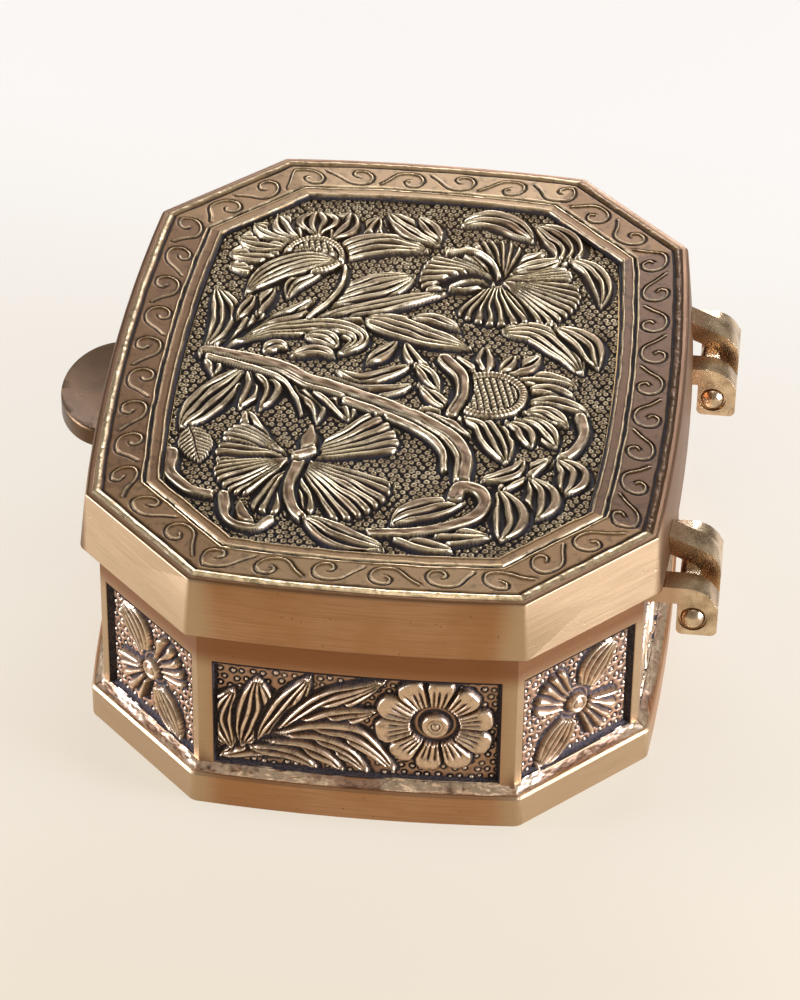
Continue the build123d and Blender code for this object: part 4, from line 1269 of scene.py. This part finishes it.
class PAANBOX_OT_fixed_metal(bpy.types.Operator):
    """Give the frame's own rims, walls, hinges, tray and pots their finishes"""

    bl_idname = "paanbox.fixed_metal"
    bl_label = "Finish the fixed metal"

    def execute(self, context):
        families = (
            (("foot_band", "floor_plate"), brushed_finish()),
            (("lid_rim",), rim_finish()),
            (("wall_",), shaded_wall_finish()),
            (("hinge_",), hinge_finish()),
            (("thumb_tab",), tab_finish()),
            (("tray_", "pot_"), sheet_finish()),
        )
        for node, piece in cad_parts.items():
            for starts, finish in families:
                if node.startswith(starts):
                    piece.data.materials.clear()
                    piece.data.materials.append(finish)
            width = next((each for start, each in SOFTENED.items() if node.startswith(start)), 0)
            if width:
                weld = piece.modifiers.new("joined_edges", "WELD")
                weld.merge_threshold = WELD_REACH * MM
                soften = piece.modifiers.new("softened_edges", "BEVEL")
                soften.width = width * MM
                soften.segments = ROUNDING_STEPS
                soften.limit_method = "ANGLE"
                soften.angle_limit = math.radians(SHARP_TURN)
                soften.harden_normals = False
        return {"FINISHED"}


# ---------------------------------------------------------------- stage, in metres
# the camera's focal length is in mm and its turn in degrees
CAMERA_LENS = 156.35
CAMERA_PLACE = (0.7592, 0.0780, 0.6156)
CAMERA_TURN = (52.177, -0.606, 96.281)
FLOOR_REACH = 3.0
# the stretch along X over which the floor's paint turns from its far colour to its darker near one, a painted
# shade over the near floor
FLOOR_FADE = (-0.19, 0.18)
# how much of its plain colour the floor shows to the eye and in the metal, over its lit colour
FLOOR_GLOW = 0.72
ROOM_TONE = "#F2ECE2"
ROOM_LIGHT = 0.4
LIT_POINT = (0, 0, 0.04)
# name, diameter, power in watts, place and tone
LIGHTS = (
    ("window_light", 0.5, 12.0, (-1.25, 0.05, 0.5), "#EAF0FF"),
    ("left_light", 0.5, 14.0, (0.1, -0.7, 0.1), "#D6E2FF"),
    ("right_light", 0.5, 20.0, (0.16, 0.7, 0.1), "#D6E2FF"),
    ("overhead_light", 0.6, 2.0, (0.1, 0.1, 1.1), "#FFFFFF"),
)


def add_light(name, size, energy, place, tone):
    """A large soft lamp at a place, turned towards the box."""
    lamp = bpy.data.lights.new(name, "AREA")
    lamp.shape = "DISK"
    lamp.size = size
    lamp.energy = energy
    lamp.color = linear(tone)[:3]
    holder = bpy.data.objects.new(name, lamp)
    holder.location = place
    holder.rotation_euler = (Vector(LIT_POINT) - Vector(place)).to_track_quat("-Z", "Y").to_euler()
    bpy.context.scene.collection.objects.link(holder)


def painted_floor():
    """Pale paint that shows its plain colour to the eye and in the metal, and keeps the shadow."""
    material, tree = new_finish("painted_floor")
    seen = add_node(tree, "LightPath")
    sight = seen.outputs["Is Camera Ray"]
    for ray in ("Is Glossy Ray", "Is Transmission Ray"):
        sight = add_node(tree, "Math", {"operation": "MAXIMUM"}, n0=sight, n1=seen.outputs[ray]).outputs[0]
    sight = add_node(tree, "Math", {"operation": "MULTIPLY"}, n0=sight, n1=FLOOR_GLOW).outputs[0]
    place = add_node(tree, "TexCoord").outputs["Object"]
    across = add_node(tree, "SeparateXYZ", n0=place).outputs[0]
    far, close = FLOOR_FADE
    near = add_node(tree, "MapRange", Value=across, From_Min=far, From_Max=close).outputs[0]
    paint = add_node(tree, "Mix", BLEND, n0=near, n6=colours().floor, n7=colours().floor_near).outputs[2]
    diffuse = add_node(tree, "BsdfDiffuse", Color=paint)
    glow = add_node(tree, "Emission", Color=paint, Strength=1.0)
    mixed = add_node(tree, "MixShader", n0=sight, n1=diffuse.outputs[0], n2=glow.outputs[0])
    add_node(tree, "OutputMaterial", Surface=mixed.outputs[0])
    return material


def add_floor():
    """The plain floor under the box."""
    bm = bmesh.new()
    bmesh.ops.create_grid(bm, x_segments=1, y_segments=1, size=FLOOR_REACH)
    mesh = bpy.data.meshes.new("floor")
    bm.to_mesh(mesh)
    bm.free()
    floor = bpy.data.objects.new("floor", mesh)
    bpy.context.scene.collection.objects.link(floor)
    floor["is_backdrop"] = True
    mesh.materials.append(painted_floor())


def add_room():
    """An even pale room all round."""
    world = bpy.data.worlds.new("pale_room")
    world.use_nodes = True
    tree = world.node_tree
    tree.nodes.clear()
    room = add_node(tree, "Background", Color=linear(ROOM_TONE), Strength=ROOM_LIGHT)
    add_node(tree, "OutputWorld", Surface=room.outputs[0])
    bpy.context.scene.world = world


def add_camera():
    """A long lens that looks down on the lid from beyond its +X end."""
    eye = bpy.data.cameras.new("camera")
    eye.sensor_fit = "VERTICAL"
    eye.sensor_height = 36.0
    eye.lens = CAMERA_LENS
    eye.clip_end = 20.0
    holder = bpy.data.objects.new("camera", eye)
    holder.location = CAMERA_PLACE
    holder.rotation_euler = Euler([math.radians(value) for value in CAMERA_TURN])
    bpy.context.scene.collection.objects.link(holder)
    bpy.context.scene.camera = holder


class PAANBOX_OT_stage(bpy.types.Operator):
    """Set the floor, the room, the lights and the camera"""

    bl_idname = "paanbox.stage"
    bl_label = "Stage"

    def execute(self, context):
        add_floor()
        add_room()
        for row in LIGHTS:
            add_light(*row)
        add_camera()
        context.scene.view_settings.view_transform = "Standard"
        return {"FINISHED"}


class PAANBOX_PT_panel(bpy.types.Panel):
    """Sidebar panel with the sizes, the colours and the steps"""

    bl_label = "Paan box"
    bl_idname = "PAANBOX_PT_panel"
    bl_space_type = "VIEW_3D"
    bl_region_type = "UI"
    bl_category = "Paan box"

    def draw(self, context):
        for group in (sizes(), colours()):
            for name in group.__annotations__:
                self.layout.prop(group, name)
        for step_class in STEPS:
            self.layout.operator(step_class.bl_idname)


STEPS = (
    PAANBOX_OT_fixed_metal, PAANBOX_OT_lid_under_plate, PAANBOX_OT_lid_border,
    PAANBOX_OT_lid_field, PAANBOX_OT_wall_panels, PAANBOX_OT_braze, PAANBOX_OT_stage,
)
CLASSES = (CarvingSizes, BrassColours, PAANBOX_PT_panel) + STEPS


def register():
    """Registers the settings, the steps and the panel."""
    for each in CLASSES:
        bpy.utils.register_class(each)
    bpy.types.Scene.paan_box_carving = bpy.props.PointerProperty(type=CarvingSizes)
    bpy.types.Scene.paan_box_brass = bpy.props.PointerProperty(type=BrassColours)


def unregister():
    """Takes away what register added."""
    del bpy.types.Scene.paan_box_brass
    del bpy.types.Scene.paan_box_carving
    for each in reversed(CLASSES):
        bpy.utils.unregister_class(each)


def main():
    """Builds the looks in order and measures the sizes before and after."""
    frame_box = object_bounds()
    register()
    for each in STEPS:
        group, name = each.bl_idname.split(".")
        getattr(getattr(bpy.ops, group), name)()
    boxes = {"frame": frame_box, "visual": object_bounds()}
    plain = {key: [[float(x) for x in corner] for corner in box] for key, box in boxes.items()}


if __name__ == "__main__":
    main()
